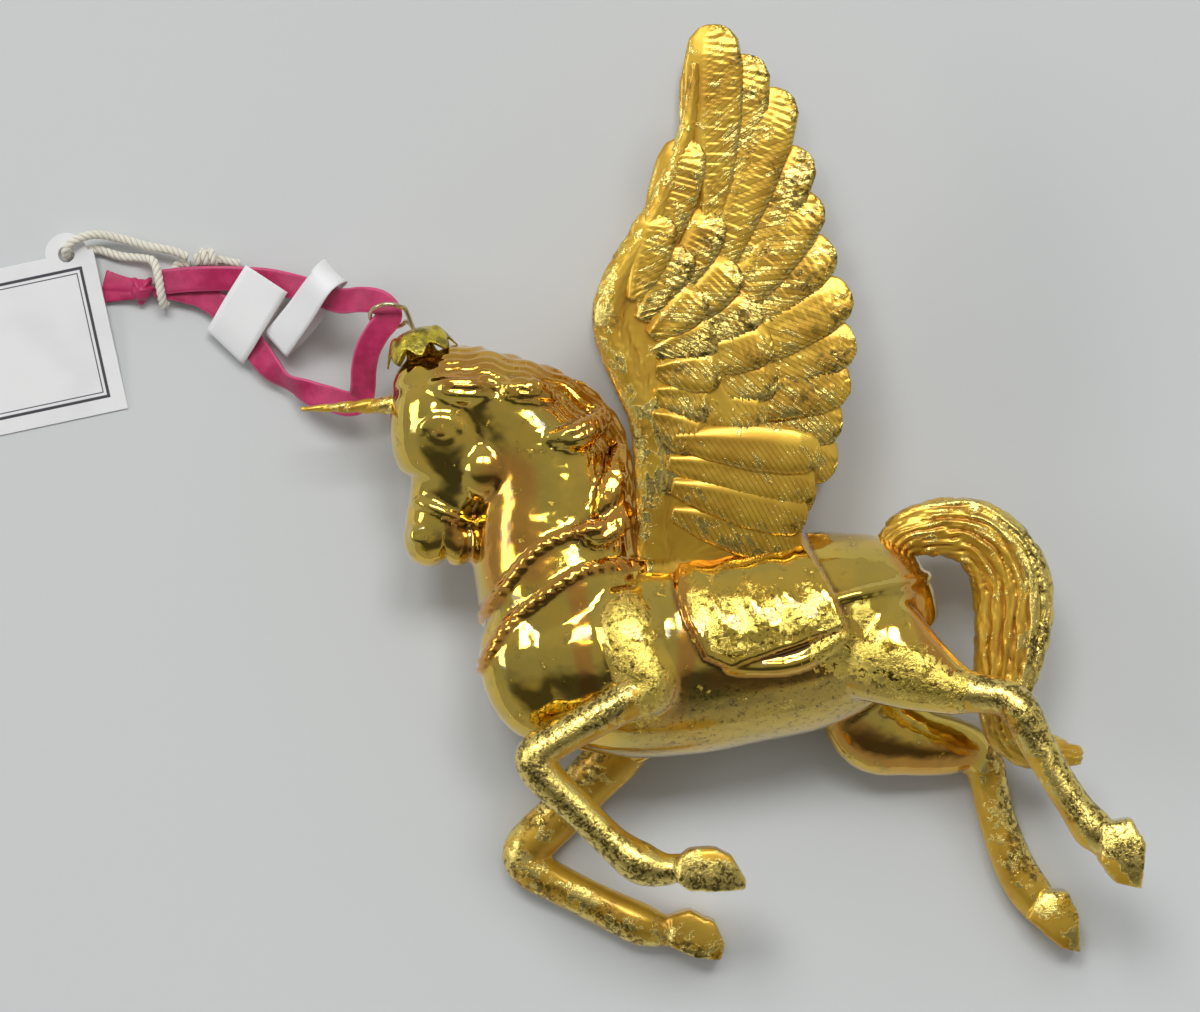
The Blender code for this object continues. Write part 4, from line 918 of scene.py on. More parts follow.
def lay_down(thing):
    """Moves a piece straight down or up until it just touches the table."""
    lowest = points_of(thing)[:, 2].min()
    put_points(thing, points_of(thing) - np.array((0.0, 0.0, lowest)))


def leg(name, stations, hoof_outline, leaf_share):
    """A cast leg with its hoof, and the marks for its leaf, its lacquer and the painted shade along its
    lower side.
    """
    factor = HOOF_SPREAD / MM / DRAWN_SPREAD
    line = [(x, y, w * factor, *rest) for x, y, w, *rest in stations]
    casting = one_skin([limb(line, sides=28), hoof(hoof_outline, line[-1][2])], name, LEG_VOXEL, 3)
    spots = drawing_places(casting)
    _, side, along = beside(spots, stations)
    seam = inside(spots, hoof_outline)
    raise_by(casting, -0.22 * ripple(seam, 0.15, 0.35) * (along < along.max() - 1.0))
    if stations[0][2] < 0:
        lay_down(casting)
    root = 1 - fade(along, 0.0, 9.0)
    turned = -side if stations in (LEFT_HIND_LEG, RIGHT_HIND_LEG) else side
    upper = fade(turned, 0.8, 3.0)
    # The lower side takes painted shade: a band that the finish turns into dark specks.
    put_marks(casting, leaf=leaf_share * (1 - 0.75 * upper) * (1 - 0.5 * root),
              amber=np.maximum(0.8 * root, upper),
              mottle=fade(-turned, -0.6, 2.6) * (0.4 + 0.6 * leaf_share))
    mark_creases(casting)
    print(name, len(casting.data.polygons), "faces")
    return casting


legs = {
    "left_foreleg": leg("left_foreleg_cast", LEFT_FORELEG, LEFT_FORE_HOOF, 1.0),
    "right_foreleg": leg("right_foreleg_cast", RIGHT_FORELEG, RIGHT_FORE_HOOF, 0.45),
    "left_hind_leg": leg("left_hind_leg_cast", LEFT_HIND_LEG, LEFT_HIND_HOOF, 1.0),
    "right_hind_leg": leg("right_hind_leg_cast", RIGHT_HIND_LEG, RIGHT_HIND_HOOF, 0.45)}

# %% [markdown]
# The tail is a sheaf of hair, cast in one. Six rounded strands lie side by side along one curve, and fine
# grooves are combed into them once they have one skin.

# %% Tail
TAIL_HALF_DEPTH = 4.6
TAIL = [
    (29.5, -13.0, 0, 2.6), (31.6, -8.6, 0, 3.8), (36.4, -6.5, 0, 5.2), (43.9, -6.6, 0, 6.3),
    (49.2, -10.2, 0, 7.1), (52.3, -16.2, 0, 7.7), (52.6, -22.9, 0, 7.6), (51.7, -30.1, 0, 6.8),
    (50.8, -37.3, 0, 5.2), (52.4, -43.4, 0, 4.6), (57.8, -46.3, 0, 3.8), (65.0, -47.4, 0, 1.6)]
TAIL_STRANDS = 6
TAIL_VOXEL = 0.4 * MM
COARSE_HAIR, FINE_HAIR, HAIR_HEIGHT = 1.15, 0.62, 0.16


def tail_strand(k, run):
    """One strand of the tail, at its place across the sheaf."""
    offset = (k + 0.5) / TAIL_STRANDS * 2 - 1
    stations = []
    for i, (x, y, w, half) in enumerate(run):
        ahead, behind = run[min(i + 1, len(run) - 1)], run[max(i - 1, 0)]
        direction = Vector((ahead[0] - behind[0], ahead[1] - behind[1])).normalized()
        shift = offset * half * (1 - 0.8 / TAIL_STRANDS)
        bulge = TAIL_HALF_DEPTH * min(1.0, half / 4.0) * math.sqrt(1 - 0.7 * offset ** 2)
        stations.append((x - direction.y * shift, y + direction.x * shift, w,
                         1.25 * half / TAIL_STRANDS, bulge))
    return limb(stations, sides=20, steps=2)


tail_run = smooth_points(TAIL, 4)
tail = one_skin([tail_strand(k, tail_run) for k in range(TAIL_STRANDS)], "tail_cast", TAIL_VOXEL, 2)
_, side, along = beside(drawing_places(tail), TAIL)
sway = 0.6 * np.sin(along * 0.21) + 0.25 * np.sin(along * 0.7 + side)
comb = np.cos(2 * math.pi * (side + sway) / COARSE_HAIR)
comb = comb + 0.5 * np.cos(2 * math.pi * (side - sway) / FINE_HAIR)
raise_by(tail, HAIR_HEIGHT * comb * fade(along, 1.0, 5.0))
leaf = 0.15 + 0.75 * fade(side, 0.5, 5.0) * fade(along, 14.0, 26.0) + 0.3 * fade(side, 2.0, 5.0)
put_marks(tail, leaf=leaf, amber=0.4 + 0.6 * fade(-side, -1.0, 4.0))
mark_creases(tail, blurs=1)
print("tail", len(tail.data.polygons), "faces")

# %% [markdown]
# The horn is a thin cone with two flutes that turn around it. It is a stack of rings that get smaller
# toward the tip, and each point's reach follows a cosine of its angle, turned as it goes up.

# %% Horn
HORN_BASE, HORN_TIP = place(-55.5, 16.0, 0), place(-75.6, 15.1, 0)
HORN_RADIUS, HORN_TIP_RADIUS = 1.9 * MM, 0.35 * MM
HORN_TURNS = 5.0
HORN_RINGS, HORN_SIDES = 120, 32

rings = []
axis = (HORN_TIP - HORN_BASE).normalized()
across = axis.cross(Vector((0, 0, 1))).normalized()
upward = across.cross(axis)
for i in range(HORN_RINGS + 1):
    t = i / HORN_RINGS
    radius = HORN_RADIUS + (HORN_TIP_RADIUS - HORN_RADIUS) * t
    ring = []
    for k in range(HORN_SIDES):
        angle = 2 * math.pi * k / HORN_SIDES
        flute = abs(math.cos(angle - 2 * math.pi * HORN_TURNS / 2 * t))
        reach = radius * (0.80 + 0.30 * flute ** 0.7)
        ring.append(HORN_BASE.lerp(HORN_TIP, t) + across * reach * math.cos(angle)
                    + upward * reach * math.sin(angle))
    rings.append(ring)
horn = as_object("twisted_horn", skin(rings))
horn.data.shade_smooth()
put_marks(horn, leaf=0.4, amber=0.6)
mark_creases(horn, blurs=1)
print("horn", round((HORN_TIP - HORN_BASE).length / MM, 1), "mm long")

# %% [markdown]
# A wing is cast with layers of feathers on a panel, behind a thick arm: flight feathers, four low ones
# that show faintly on the panel, coverts and small coverts. Each feather is a vane with a round tip, a
# raised shaft, and fine barbs that slant out toward its tip on the trailing half. The layers are made
# flat, and then the whole wing is flared away from the body.

# %% Feather tables
FEATHER_WIDTH = 10.6
FEATHER_THICKNESS = 1.5
FLIGHT_FEATHERS = [
    (-2.4, 46.0, -1.7, 82.7), (-4.0, 38.0, 4.6, 77.4), (-4.6, 33.0, 10.3, 71.3), (-5.4, 27.0, 14.0, 60.8),
    (-6.0, 25.2, 16.2, 52.6), (-7.3, 23.1, 19.0, 44.2), (-6.6, 20.3, 22.3, 36.0), (-6.2, 17.4, 23.3, 27.6),
    (-6.2, 14.6, 22.5, 20.4), (-6.2, 11.8, 21.2, 13.3), (-6.9, 8.3, 20.4, 6.0), (-8.4, 4.4, 16.6, -0.4)]
LOW_FEATHERS = [
    (-9.0, 9.5, 17.2, 6.8), (-9.6, 5.5, 16.2, 1.2), (-9.0, 1.2, 14.9, -4.6), (-9.0, -3.6, 13.6, -9.6)]
COVERTS = [
    (-12.6, 39.7, -6.2, 62.3), (-11.2, 31.9, -2.0, 49.6), (-9.8, 28.7, 1.9, 40.8), (-8.4, 25.6, 6.1, 34.0),
    (-7.6, 22.7, 8.6, 27.3), (-7.3, 19.2, 9.7, 20.6), (-7.6, 15.7, 8.2, 14.3), (-8.7, 11.4, 6.1, 7.9)]
SMALL_COVERTS = [
    (-16.1, 34.0, -11.2, 49.1), (-14.7, 30.5, -7.3, 43.6), (-12.9, 27.7, -4.1, 35.8),
    (-12.2, 24.9, -1.3, 28.7), (-11.9, 21.7, -0.2, 22.0), (-11.9, 17.8, -1.6, 15.7),
    (-12.6, 13.6, -3.4, 9.7)]
WING_ARM = [
    (-11.8, -12.0, 0.4, 3.4, 1.7), (-12.0, -6.0, 0, 3.3, 1.9), (-12.2, -1.3, 0, 3.2, 2.1),
    (-12.5, 5.8, 0, 3.2, 2.3), (-13.3, 12.9, 0, 3.2, 2.5), (-15.6, 19.0, 0, 3.2, 2.6),
    (-18.4, 25.2, 0, 3.2, 2.6), (-20.2, 30.9, 0, 3.1, 2.5), (-19.2, 35.8, 0, 3.0, 2.4),
    (-16.3, 41.5, 0, 2.9, 2.2), (-12.6, 47.8, 0, 2.5, 1.9), (-9.8, 54.9, 0, 2.0, 1.6),
    (-7.0, 62.3, 0, 1.6, 1.3), (-5.7, 69.1, 0, 1.3, 1.0), (-5.0, 76.0, 0, 0.8, 0.8)]
WING_PANEL = [
    (-13.5, -14.5), (-6.0, -15.5), (4.0, -15.0), (14.0, -13.0), (14.1, -1.3), (6.6, 9.4), (-0.5, 20.0),
    (-5.0, 30.0), (-10.0, 40.0), (-17.0, 38.0), (-19.0, 30.9), (-18.0, 24.0), (-15.5, 17.0),
    (-13.8, 12.9), (-13.6, 4.1)]
FEATHER_PROFILE = [
    (0.0, 0.35), (0.25, 0.75), (0.55, 1.0), (0.8, 1.0), (0.93, 0.82), (0.985, 0.5), (1.0, 0.2)]
tables = (FLIGHT_FEATHERS, LOW_FEATHERS, COVERTS, SMALL_COVERTS)
print(sum(len(table) for table in tables), "feathers on each wing")

# %% One feather
FEATHER_COLUMNS = 14
FEATHER_ROW_GAP = 0.36
SHAFT_SHARE = -0.35
SHAFT_HEIGHT, SHAFT_WIDTH = 0.55, 0.7
BARB_HEIGHT, BARB_GAP, BARB_SLANT = 0.40, 1.15, 0.9


def feather(row, width, lift, leaf_share, carving):
    """A vane with a shaft and barbs, as one closed shell, and its marks."""
    root, tip = Vector(row[:2]), Vector(row[2:])
    length = (tip - root).length
    way = (tip - root).normalized()
    beside_way = Vector((way.y, -way.x))
    rows = max(20, int(length / FEATHER_ROW_GAP))
    stops = np.array(FEATHER_PROFILE)
    rings, marks = [], []
    for i in range(rows + 1):
        t = i / rows
        half = float(np.interp(t, stops[:, 0], stops[:, 1])) * width / 2
        middle = root + way * length * t
        ring = []
        for face in (1, -1):
            for k in range(FEATHER_COLUMNS + 1):
                share = (2 * k / FEATHER_COLUMNS - 1) * face
                across = share * half
                off_shaft = across - SHAFT_SHARE * half
                trailing = max(0.0, share - SHAFT_SHARE) / (1 - SHAFT_SHARE)
                slant = (length * t - BARB_SLANT * abs(off_shaft)) / BARB_GAP
                thick = FEATHER_THICKNESS / 2 * (1 - 0.75 * abs(share) ** 5) * min(1.0, 6 * (1.02 - t))
                height = 0.10 * across + face * thick
                if face > 0:
                    shaft = math.exp(-(off_shaft / SHAFT_WIDTH) ** 2)
                    height += carving * BARB_HEIGHT * (slant % 1.0) * min(1.0, trailing * 5)
                    height += carving * SHAFT_HEIGHT * (1.15 - t) * shaft
                point = middle + beside_way * across
                ring.append(place(point.x, point.y, lift + height))
                marks.append((trailing, slant, leaf_share * (0.25 + 0.75 * min(1.0, 3 * trailing)), t))
        rings.append(ring)
    thing = as_object("feather", skin(rings))
    vane, barb, leaf, t = np.array(marks).T
    put_marks(thing, vane=vane, barb=barb, leaf=leaf, amber=1.0 - fade(vane, 0.0, 0.3),
              mottle=0.75 * fade(t, 0.55, 1.0) * fade(vane, 0.1, 0.8))
    return thing


def wing_height(y):
    """How far the wing stands from the plane of symmetry, in millimetres, at y along it."""
    climb = 1 - np.exp(-np.maximum(y - WING_ROOT_Y, 0.0) / (WING_FLARE_LENGTH / MM))
    return (WING_ROOT_SPREAD + (WING_TIP_SPREAD - WING_ROOT_SPREAD) * climb) / MM


print("a flight feather is", FEATHER_WIDTH, "mm wide")

# %% The wing's base
WING_VOXEL = 0.42 * MM
FEATHER_STAGGER = 0.35
SHEEN = (0.55, 1.0, 0.75, 1.3, 0.6, 0.9)
# Each layer's feathers, their width and lift, their share of leaf and how deeply they are carved.
LAYERS = (
    (FLIGHT_FEATHERS, 1.0, -0.6, 0.44, 1.0), (LOW_FEATHERS, 0.80, 1.50, 0.24, 0.40),
    (COVERTS, 0.85, 0.45, 0.58, 1.0), (SMALL_COVERTS, 0.8, 1.25, 0.66, 1.0))
WING_LEAF = [([(-11.0, 14.5), (-9.0, 8.0), (-9.4, 2.0)], 4.0), ([(-9.0, 27.5), (-4.0, 24.0)], 4.0)]


def wing_base():
    """The arm and the panel under one skin, with strokes like fur along the arm."""
    plate = common(prism(WING_PANEL), egg(0, 5, 0, 60, 60, 1.5))
    base = one_skin([plate, limb(WING_ARM, sides=28)], "wing_base", WING_VOXEL, 3)
    spots = drawing_places(base)
    _, side, along = beside(spots, WING_ARM)
    on_arm = 1 - fade(np.abs(side), 2.6, 4.2)
    fur = np.cos(2 * math.pi * (side + 0.22 * np.sin(along * 1.7 + side) + 0.22 * along) / 0.95)
    fur *= 0.6 + 0.4 * np.sin(along * 2.3 + 3.0 * side)
    root_x, root_y = -11.0, -13.0
    angle = np.arctan2(spots[:, 1] - root_y, spots[:, 0] - root_x)
    radius = spot(spots, (root_x, root_y))
    rays = np.cos(angle * 52 + 1.4 * np.sin(radius * 0.55) + 2.6 * np.sin(angle * 7))
    rays *= (0.5 + 0.5 * np.sin(radius * 0.9 + angle * 17)) * (1.3 - fade(radius, 8.0, 18.0))
    raise_by(base, 0.13 * fur * on_arm + 0.08 * rays * (1 - on_arm))
    leaf = np.maximum(near_lines(spots, WING_LEAF), 0.5 * on_arm * fade(side, -3.0, 2.0))
    put_marks(base, vane=0.0, leaf=leaf, amber=1 - 0.6 * on_arm)
    return base


print("the wing's arm has", len(WING_ARM), "stations")

# %% [markdown]
# Each layer is laid on the base at its own height, with every second feather a little lower, so that
# they overlap as real feathers do. The far wing is the near one turned over and laid on the table.


# %% Wings
def wing(name, side):
    """Layers of feathers on the base, flared outward."""
    things = [wing_base()]
    for layer, across, lift, leaf_share, carving in LAYERS:
        for k, row in enumerate(layer):
            share = leaf_share * SHEEN[k % len(SHEEN)]
            level = lift - FEATHER_STAGGER * (k % 2)
            things.append(feather(row, across * FEATHER_WIDTH, level, share, carving))
    casting = joined(things, name)
    casting.data.shade_smooth()
    spots = points_of(casting)
    local = spots[:, 2] - MID_HEIGHT
    rise = wing_height((spots[:, 1] - DRAWING_ZERO.y) / MM) * MM
    spots[:, 2] = MID_HEIGHT + side * (rise + local)
    put_points(casting, spots)
    if side < 0:
        casting.data.flip_normals()
        lay_down(casting)
    mark_creases(casting, blurs=1)
    print(name, len(casting.data.polygons), "faces")
    return casting


wings = {"left_wing": wing("left_wing_cast", 1), "right_wing": wing("right_wing_cast", -1)}

# %% [markdown]
# The cap is thin foil crimped over the glass neck. Rows of points go round a profile that flares toward
# its skirt, the skirt is pushed in and out in petals, and Solidify gives the foil its thickness.

# %% Cap
CAP_RADIUS, CAP_TOP_RADIUS, CAP_HOLE_RADIUS = 6.2 * MM, 3.4 * MM, 1.2 * MM
CAP_PETALS = 8
CAP_SIDES = 12 * CAP_PETALS
CAP_WALL = 0.3 * MM

profile = smooth_points([
    (CAP_HOLE_RADIUS, CAP_HEIGHT + 0.3 * MM), (2.4 * MM, CAP_HEIGHT + 0.1 * MM),
    (CAP_TOP_RADIUS, CAP_HEIGHT * 0.94), (4.8 * MM, 0.70 * CAP_HEIGHT), (CAP_RADIUS, 0.0)], 6)
shape = bmesh.new()
rows = []
for radius, height in profile:
    share = max(0.0, (radius - CAP_TOP_RADIUS) / (CAP_RADIUS - CAP_TOP_RADIUS))
    row = []
    for k in range(CAP_SIDES):
        angle = 2 * math.pi * k / CAP_SIDES
        wave = math.cos(CAP_PETALS * angle)
        pleat = abs(math.sin(CAP_PETALS / 2 * angle)) ** 0.6
        reach = radius * (1 + 0.07 * share * wave)
        level = height + share * 0.18 * CAP_HEIGHT * (1 - wave) + 0.25 * MM * share * (pleat - 0.5)
        row.append(shape.verts.new((reach * math.cos(angle), reach * math.sin(angle), level)))
    rows.append(row)
for near, far_row in zip(rows, rows[1:]):
    for k in range(len(near)):
        j = (k + 1) % len(near)
        shape.faces.new((near[k], near[j], far_row[j], far_row[k]))
shape.transform(Matrix.Translation(CAP_SEAT) @ upright)
bmesh.ops.recalc_face_normals(shape, faces=shape.faces)
cap = as_object("crimped_cap", shape)
apply_modifier(cap, "SOLIDIFY", thickness=CAP_WALL, offset=0.0)
cap.data.shade_smooth()
mark_creases(cap, blurs=1)
print("cap", len(cap.data.polygons), "faces")

# %% [markdown]
# The wire loop is a spring wire: two legs go down the glass neck, and the loop leans toward the ribbon.
# A curve with a round bevel is the natural way to make a wire.

# %% Wire loop
WIRE_DIAMETER = 0.8 * MM
WIRE_LEG_SPREAD = 1.0 * MM
LOOP_RADIUS, LOOP_RISE = 3.5 * MM, 2.5 * MM
LOOP_TILT = math.radians(56)

aside = Vector((0, 0, WIRE_LEG_SPREAD / 2))
deep = CAP_SEAT - CAP_AXIS * 4.0 * MM
mouth = CAP_SEAT + CAP_AXIS * (CAP_HEIGHT + 0.5 * MM)
centre = mouth + CAP_AXIS * LOOP_RISE - Vector((LOOP_RADIUS, 0, 0))
loop = []
for degrees in range(30, 331, 20):
    angle = math.radians(degrees)
    rise = math.sin(angle) * LOOP_RADIUS
    loop.append(centre + Vector((math.cos(angle) * LOOP_RADIUS, rise * math.cos(LOOP_TILT),
                                 rise * math.sin(LOOP_TILT))))
route = [deep + aside, CAP_SEAT + aside, mouth + aside, *loop, mouth - aside, CAP_SEAT - aside, deep - aside]
wire_data = bpy.data.curves.new("wire_loop", "CURVE")
wire_data.dimensions = "3D"
wire_data.bevel_depth = WIRE_DIAMETER / 2
wire_data.bevel_resolution = 5
wire_data.use_fill_caps = True
wire_run = smooth_points([tuple(point) for point in route], 6)
spline = wire_data.splines.new("POLY")
spline.points.add(len(wire_run) - 1)
for target, point in zip(spline.points, wire_run):
    target.co = (*point, 1.0)
wire = bpy.data.objects.new("wire_loop", wire_data)
bpy.context.scene.collection.objects.link(wire)
print("wire", round(run_length(wire_run) / MM, 1), "mm long")

# %% [markdown]
# The ribbon's two ends are tied in an overhand knot. Its turns are flat eggs that cross over a round
# core, and two tails and a folded point stick out of it, all under one skin.

# %% Ribbon knot
KNOT = (-106.0, 37.4, 2.3)
KNOT_VOXEL = 0.16 * MM
KNOT_TURNS = ((25, -0.5, 0.3), (100, 0.3, -0.2), (-35, 0.6, 0.5))


def from_table(stations):
    """Stations of x, y and height above the table, as limb stations."""
    return [(x, y, z - MID_HEIGHT / MM, half, depth) for x, y, z, half, depth in stations]


upper_tail = [(-106.6, 38.0, 2.4, 1.3, 0.9), (-109.6, 38.6, 1.9, 1.4, 0.35), (-113.0, 39.4, 1.2, 1.9, 0.22)]
lower_tail = [(-106.6, 36.8, 2.2, 1.3, 0.9), (-109.6, 36.8, 1.6, 1.4, 0.35), (-113.2, 36.8, 0.9, 1.9, 0.22)]
fold_point = [(-106.0, 37.2, 2.2, 1.6, 1.2), (-106.1, 35.8, 1.8, 1.1, 0.7), (-106.3, 34.7, 1.4, 0.4, 0.3)]
x, y, w = *KNOT[:2], KNOT[2] - MID_HEIGHT / MM
lumps = [egg(x, y, w, 2.0, 2.0, 1.8)]
lumps += [limb(from_table(end)) for end in (upper_tail, lower_tail, fold_point)]
lumps += [egg(x + east, y + north, w, 0.8, 2.2, 2.05, turn=turn) for turn, east, north in KNOT_TURNS]
ribbon_knot = one_skin(lumps, "satin_knot", KNOT_VOXEL, 3)
put_marks(ribbon_knot, across=0.0)
mark_creases(ribbon_knot)
print("ribbon knot", len(ribbon_knot.data.polygons), "faces")

# %% [markdown]
# The string's knot is two and a half turns of the same twisted cord round itself, with a short end that
# runs under the label. A helix that moves along the cord gives the turns.

# %% String knot
HELIX_STEPS, HELIX_TURNS = 60, 2.5
HELIX_START, HELIX_LENGTH = -95.9, 3.6
STRING_END = [(-91.6, 43.0, 2.0), (-90.2, 42.6, 1.7), (-88.0, 42.2, 1.5)]
KNOTTED_DIAMETER = 1.45 * MM

knot_places = []
for i in range(HELIX_STEPS + 1):
    angle = 2 * math.pi * i / HELIX_STEPS * HELIX_TURNS + 1.2
    knot_places.append(tuple(on_table(
        HELIX_START + HELIX_LENGTH * i / HELIX_STEPS, 43.35 + 1.05 * math.cos(angle),
        2.05 + 1.0 * math.sin(angle))))
knot_places += [tuple(on_table(*end_place)) for end_place in STRING_END]
string_knot, _ = twisted("cotton_knot", knot_places, KNOTTED_DIAMETER, 0.2 * MM)
print("string knot", len(string_knot.data.polygons), "faces")

# %% [markdown]
# The tag is a white card with a round tab, punched for the string, printed with a double frame line and
# nothing else. It is drawn flat, then leans with its upper edge on the string.

# %% Tag
TAG_WIDTH, TAG_HEIGHT = 42.0 * MM, 30.0 * MM
TAG_TAB_RADIUS, TAG_TAB_FROM_EDGE, TAG_TAB_STEPS = 3.9 * MM, 5.0 * MM, 24
TAG_CORNER = on_table(-108.7, 15.7, 0.0)
TAG_TURN = math.radians(12)
TAG_LIFT = 2.4 * MM
CARD_THICKNESS = 0.4 * MM
TAG_HOLE_RADIUS = 1.5 * MM

outline = [(0, 0), (0, TAG_HEIGHT)]
for k in range(TAG_TAB_STEPS + 1):
    angle = math.pi * k / TAG_TAB_STEPS
    outline.append((TAG_TAB_FROM_EDGE - TAG_TAB_RADIUS * math.cos(angle),
                    TAG_HEIGHT + TAG_TAB_RADIUS * math.sin(angle)))
outline += [(TAG_WIDTH, TAG_HEIGHT), (TAG_WIDTH, 0)]
tag = as_object("card_tag", slab([(-x, y, 0) for x, y in outline], CARD_THICKNESS))
hole_place = Matrix.Translation((-TAG_TAB_FROM_EDGE, TAG_HEIGHT, CARD_THICKNESS / 2))
punch = rod(48, TAG_HOLE_RADIUS, 4 * CARD_THICKNESS, hole_place)
apply_modifier(tag, "BOOLEAN", operation="DIFFERENCE", solver="EXACT", object=punch)
bpy.data.objects.remove(punch)
apply_modifier(tag, "BEVEL", width=0.06 * MM, segments=2, limit_method="ANGLE")
flat = points_of(tag) / MM
put_marks(tag, card_x=-flat[:, 0], card_y=flat[:, 1])
tilt = Matrix.Rotation(math.asin(TAG_LIFT / TAG_HEIGHT), 4, "X")
tag.data.transform(Matrix.Translation(TAG_CORNER) @ Matrix.Rotation(TAG_TURN, 4, "Z") @ tilt)
print("tag", round(TAG_WIDTH / MM), "by", round(TAG_HEIGHT / MM), "mm")

# %% Labels
LABEL_THICKNESS = 0.3 * MM
LOWER_LABEL_WIDTH, UPPER_LABEL_WIDTH = 9.2 * MM, 6.2 * MM
LOWER_LABEL_ACROSS = (0.72, -0.69, 0)
LOWER_LABEL_ROUTE = [
    (*point, LOWER_LABEL_ACROSS) for point in (
        (-82.7, 39.3, 1.3), (-86.0, 34.2, 0.8), (-88.9, 29.4, 0.7), (-90.6, 26.9, 2.5), (-88.9, 29.4, 4.5),
        (-86.2, 33.8, 5.7), (-82.7, 39.2, 6.6))]
UPPER_LABEL_ROUTE = [
    (-81.0, 27.4, 2.6, (0.69, -0.73, 0.2)), (-77.0, 31.0, 3.8, (0.69, -0.73, 0.4)),
    (-73.8, 34.8, 5.2, (0.69, -0.73, 0.5)), (-70.0, 40.2, 9.4, (0.69, -0.73, 0.7)),
    (-72.2, 38.2, 14.8, (0.69, -0.73, 0.7)), (-76.6, 32.6, 9.8, (0.69, -0.73, 0.5)),
    (-81.2, 27.2, 4.6, (0.69, -0.73, 0.2))]
label_lower, _ = band("folded_label_lower", LOWER_LABEL_ROUTE, LOWER_LABEL_WIDTH, LABEL_THICKNESS)
label_upper, _ = band("folded_label_upper", UPPER_LABEL_ROUTE, UPPER_LABEL_WIDTH, LABEL_THICKNESS)
print("two folded labels")

# %% [markdown]
# Mirrored glass: the silvering inside shows through gold lacquer, so it is a metal under a clear coat.
# The lacquer is greenish gold where it is thin and amber to brown where it pooled. Leaf lies over it in
# flakes with torn edges, duller than the mirror.


# %% Finish of the glass
GOLD_MARKS = ("crease", "amber", "leaf", "mottle")


def gold_glass():
    """Gold lacquer over silvering, with amber pools and flaked leaf."""
    f = Finish("mirrored_gold_glass")
    crease, amber, leaf, mottle = (f.mark(name) for name in GOLD_MARKS)
    cloud = f.noise(9 * MM, 3.0, 0.5)
    patch = f.noise(3.6 * MM, 3.0, 0.6)
    fine = f.noise(1.1 * MM, 6.0, 0.68, warp=0.4)
    speck = f.noise(0.5 * MM, 4.0, 0.6)
    base = f.blend(f.step(cloud, 0.35, 0.65), colour(0.82, 0.53, 0.05), colour(0.66, 0.48, 0.06))
    pooled = f.step(amber + (cloud - 0.5) * 1.4, 0.05, 1.15)
    base = f.blend(pooled * 0.9, base, colour(0.66, 0.29, 0.025))
    base = f.blend(f.step(patch, 0.56, 0.70) * 0.55, base, colour(0.42, 0.27, 0.03))
    base = f.blend(mottle * 0.55, base, colour(0.56, 0.40, 0.08))
    base = f.blend(f.step(crease, 0.35, 2.2) * 0.85, base, colour(0.20, 0.075, 0.012))
    flake = f.step(leaf * 0.80 + (fine - 0.5) * 1.8 + (patch - 0.5) * 2.3, 0.46, 0.60)
    base = f.blend(flake, base, colour(0.88, 0.66, 0.13))
    torn = f.step(leaf + mottle * 1.1, 0.25, 0.8) * f.step(fine, 0.47, 0.38) * f.step(speck, 0.40, 0.52)
    base = f.blend(torn.at_most(1.0) * 0.8, base, colour(0.10, 0.065, 0.010))
    wrinkle = f.noise(0.8 * MM, 5.0, 0.7, warp=0.8)
    wave = f.noise(6.0 * MM, 2.0, 0.45)
    height = wave * 2.6 + wrinkle * (flake * 1.1 + mottle * 0.35 + 0.02)
    return f.surface(
        Base_Color=base, Metallic=1.0, Roughness=0.06 + flake * 0.15 + pooled * 0.08 + mottle * 0.16,
        Coat_Weight=1.0 - flake * 0.6, Coat_Roughness=0.03, Normal=f.bump(height, 0.14 * MM))


glass_finish = gold_glass()
print("glass:", glass_finish.name)

# %% [markdown]
# The castings are lacquered amber and rubbed with gold leaf. On the feathers the leaf catches on the
# barbs and the grooves between them stay dark, and worn places show dark specks. Along the legs' lower
# sides the same dark specks are painted shade.


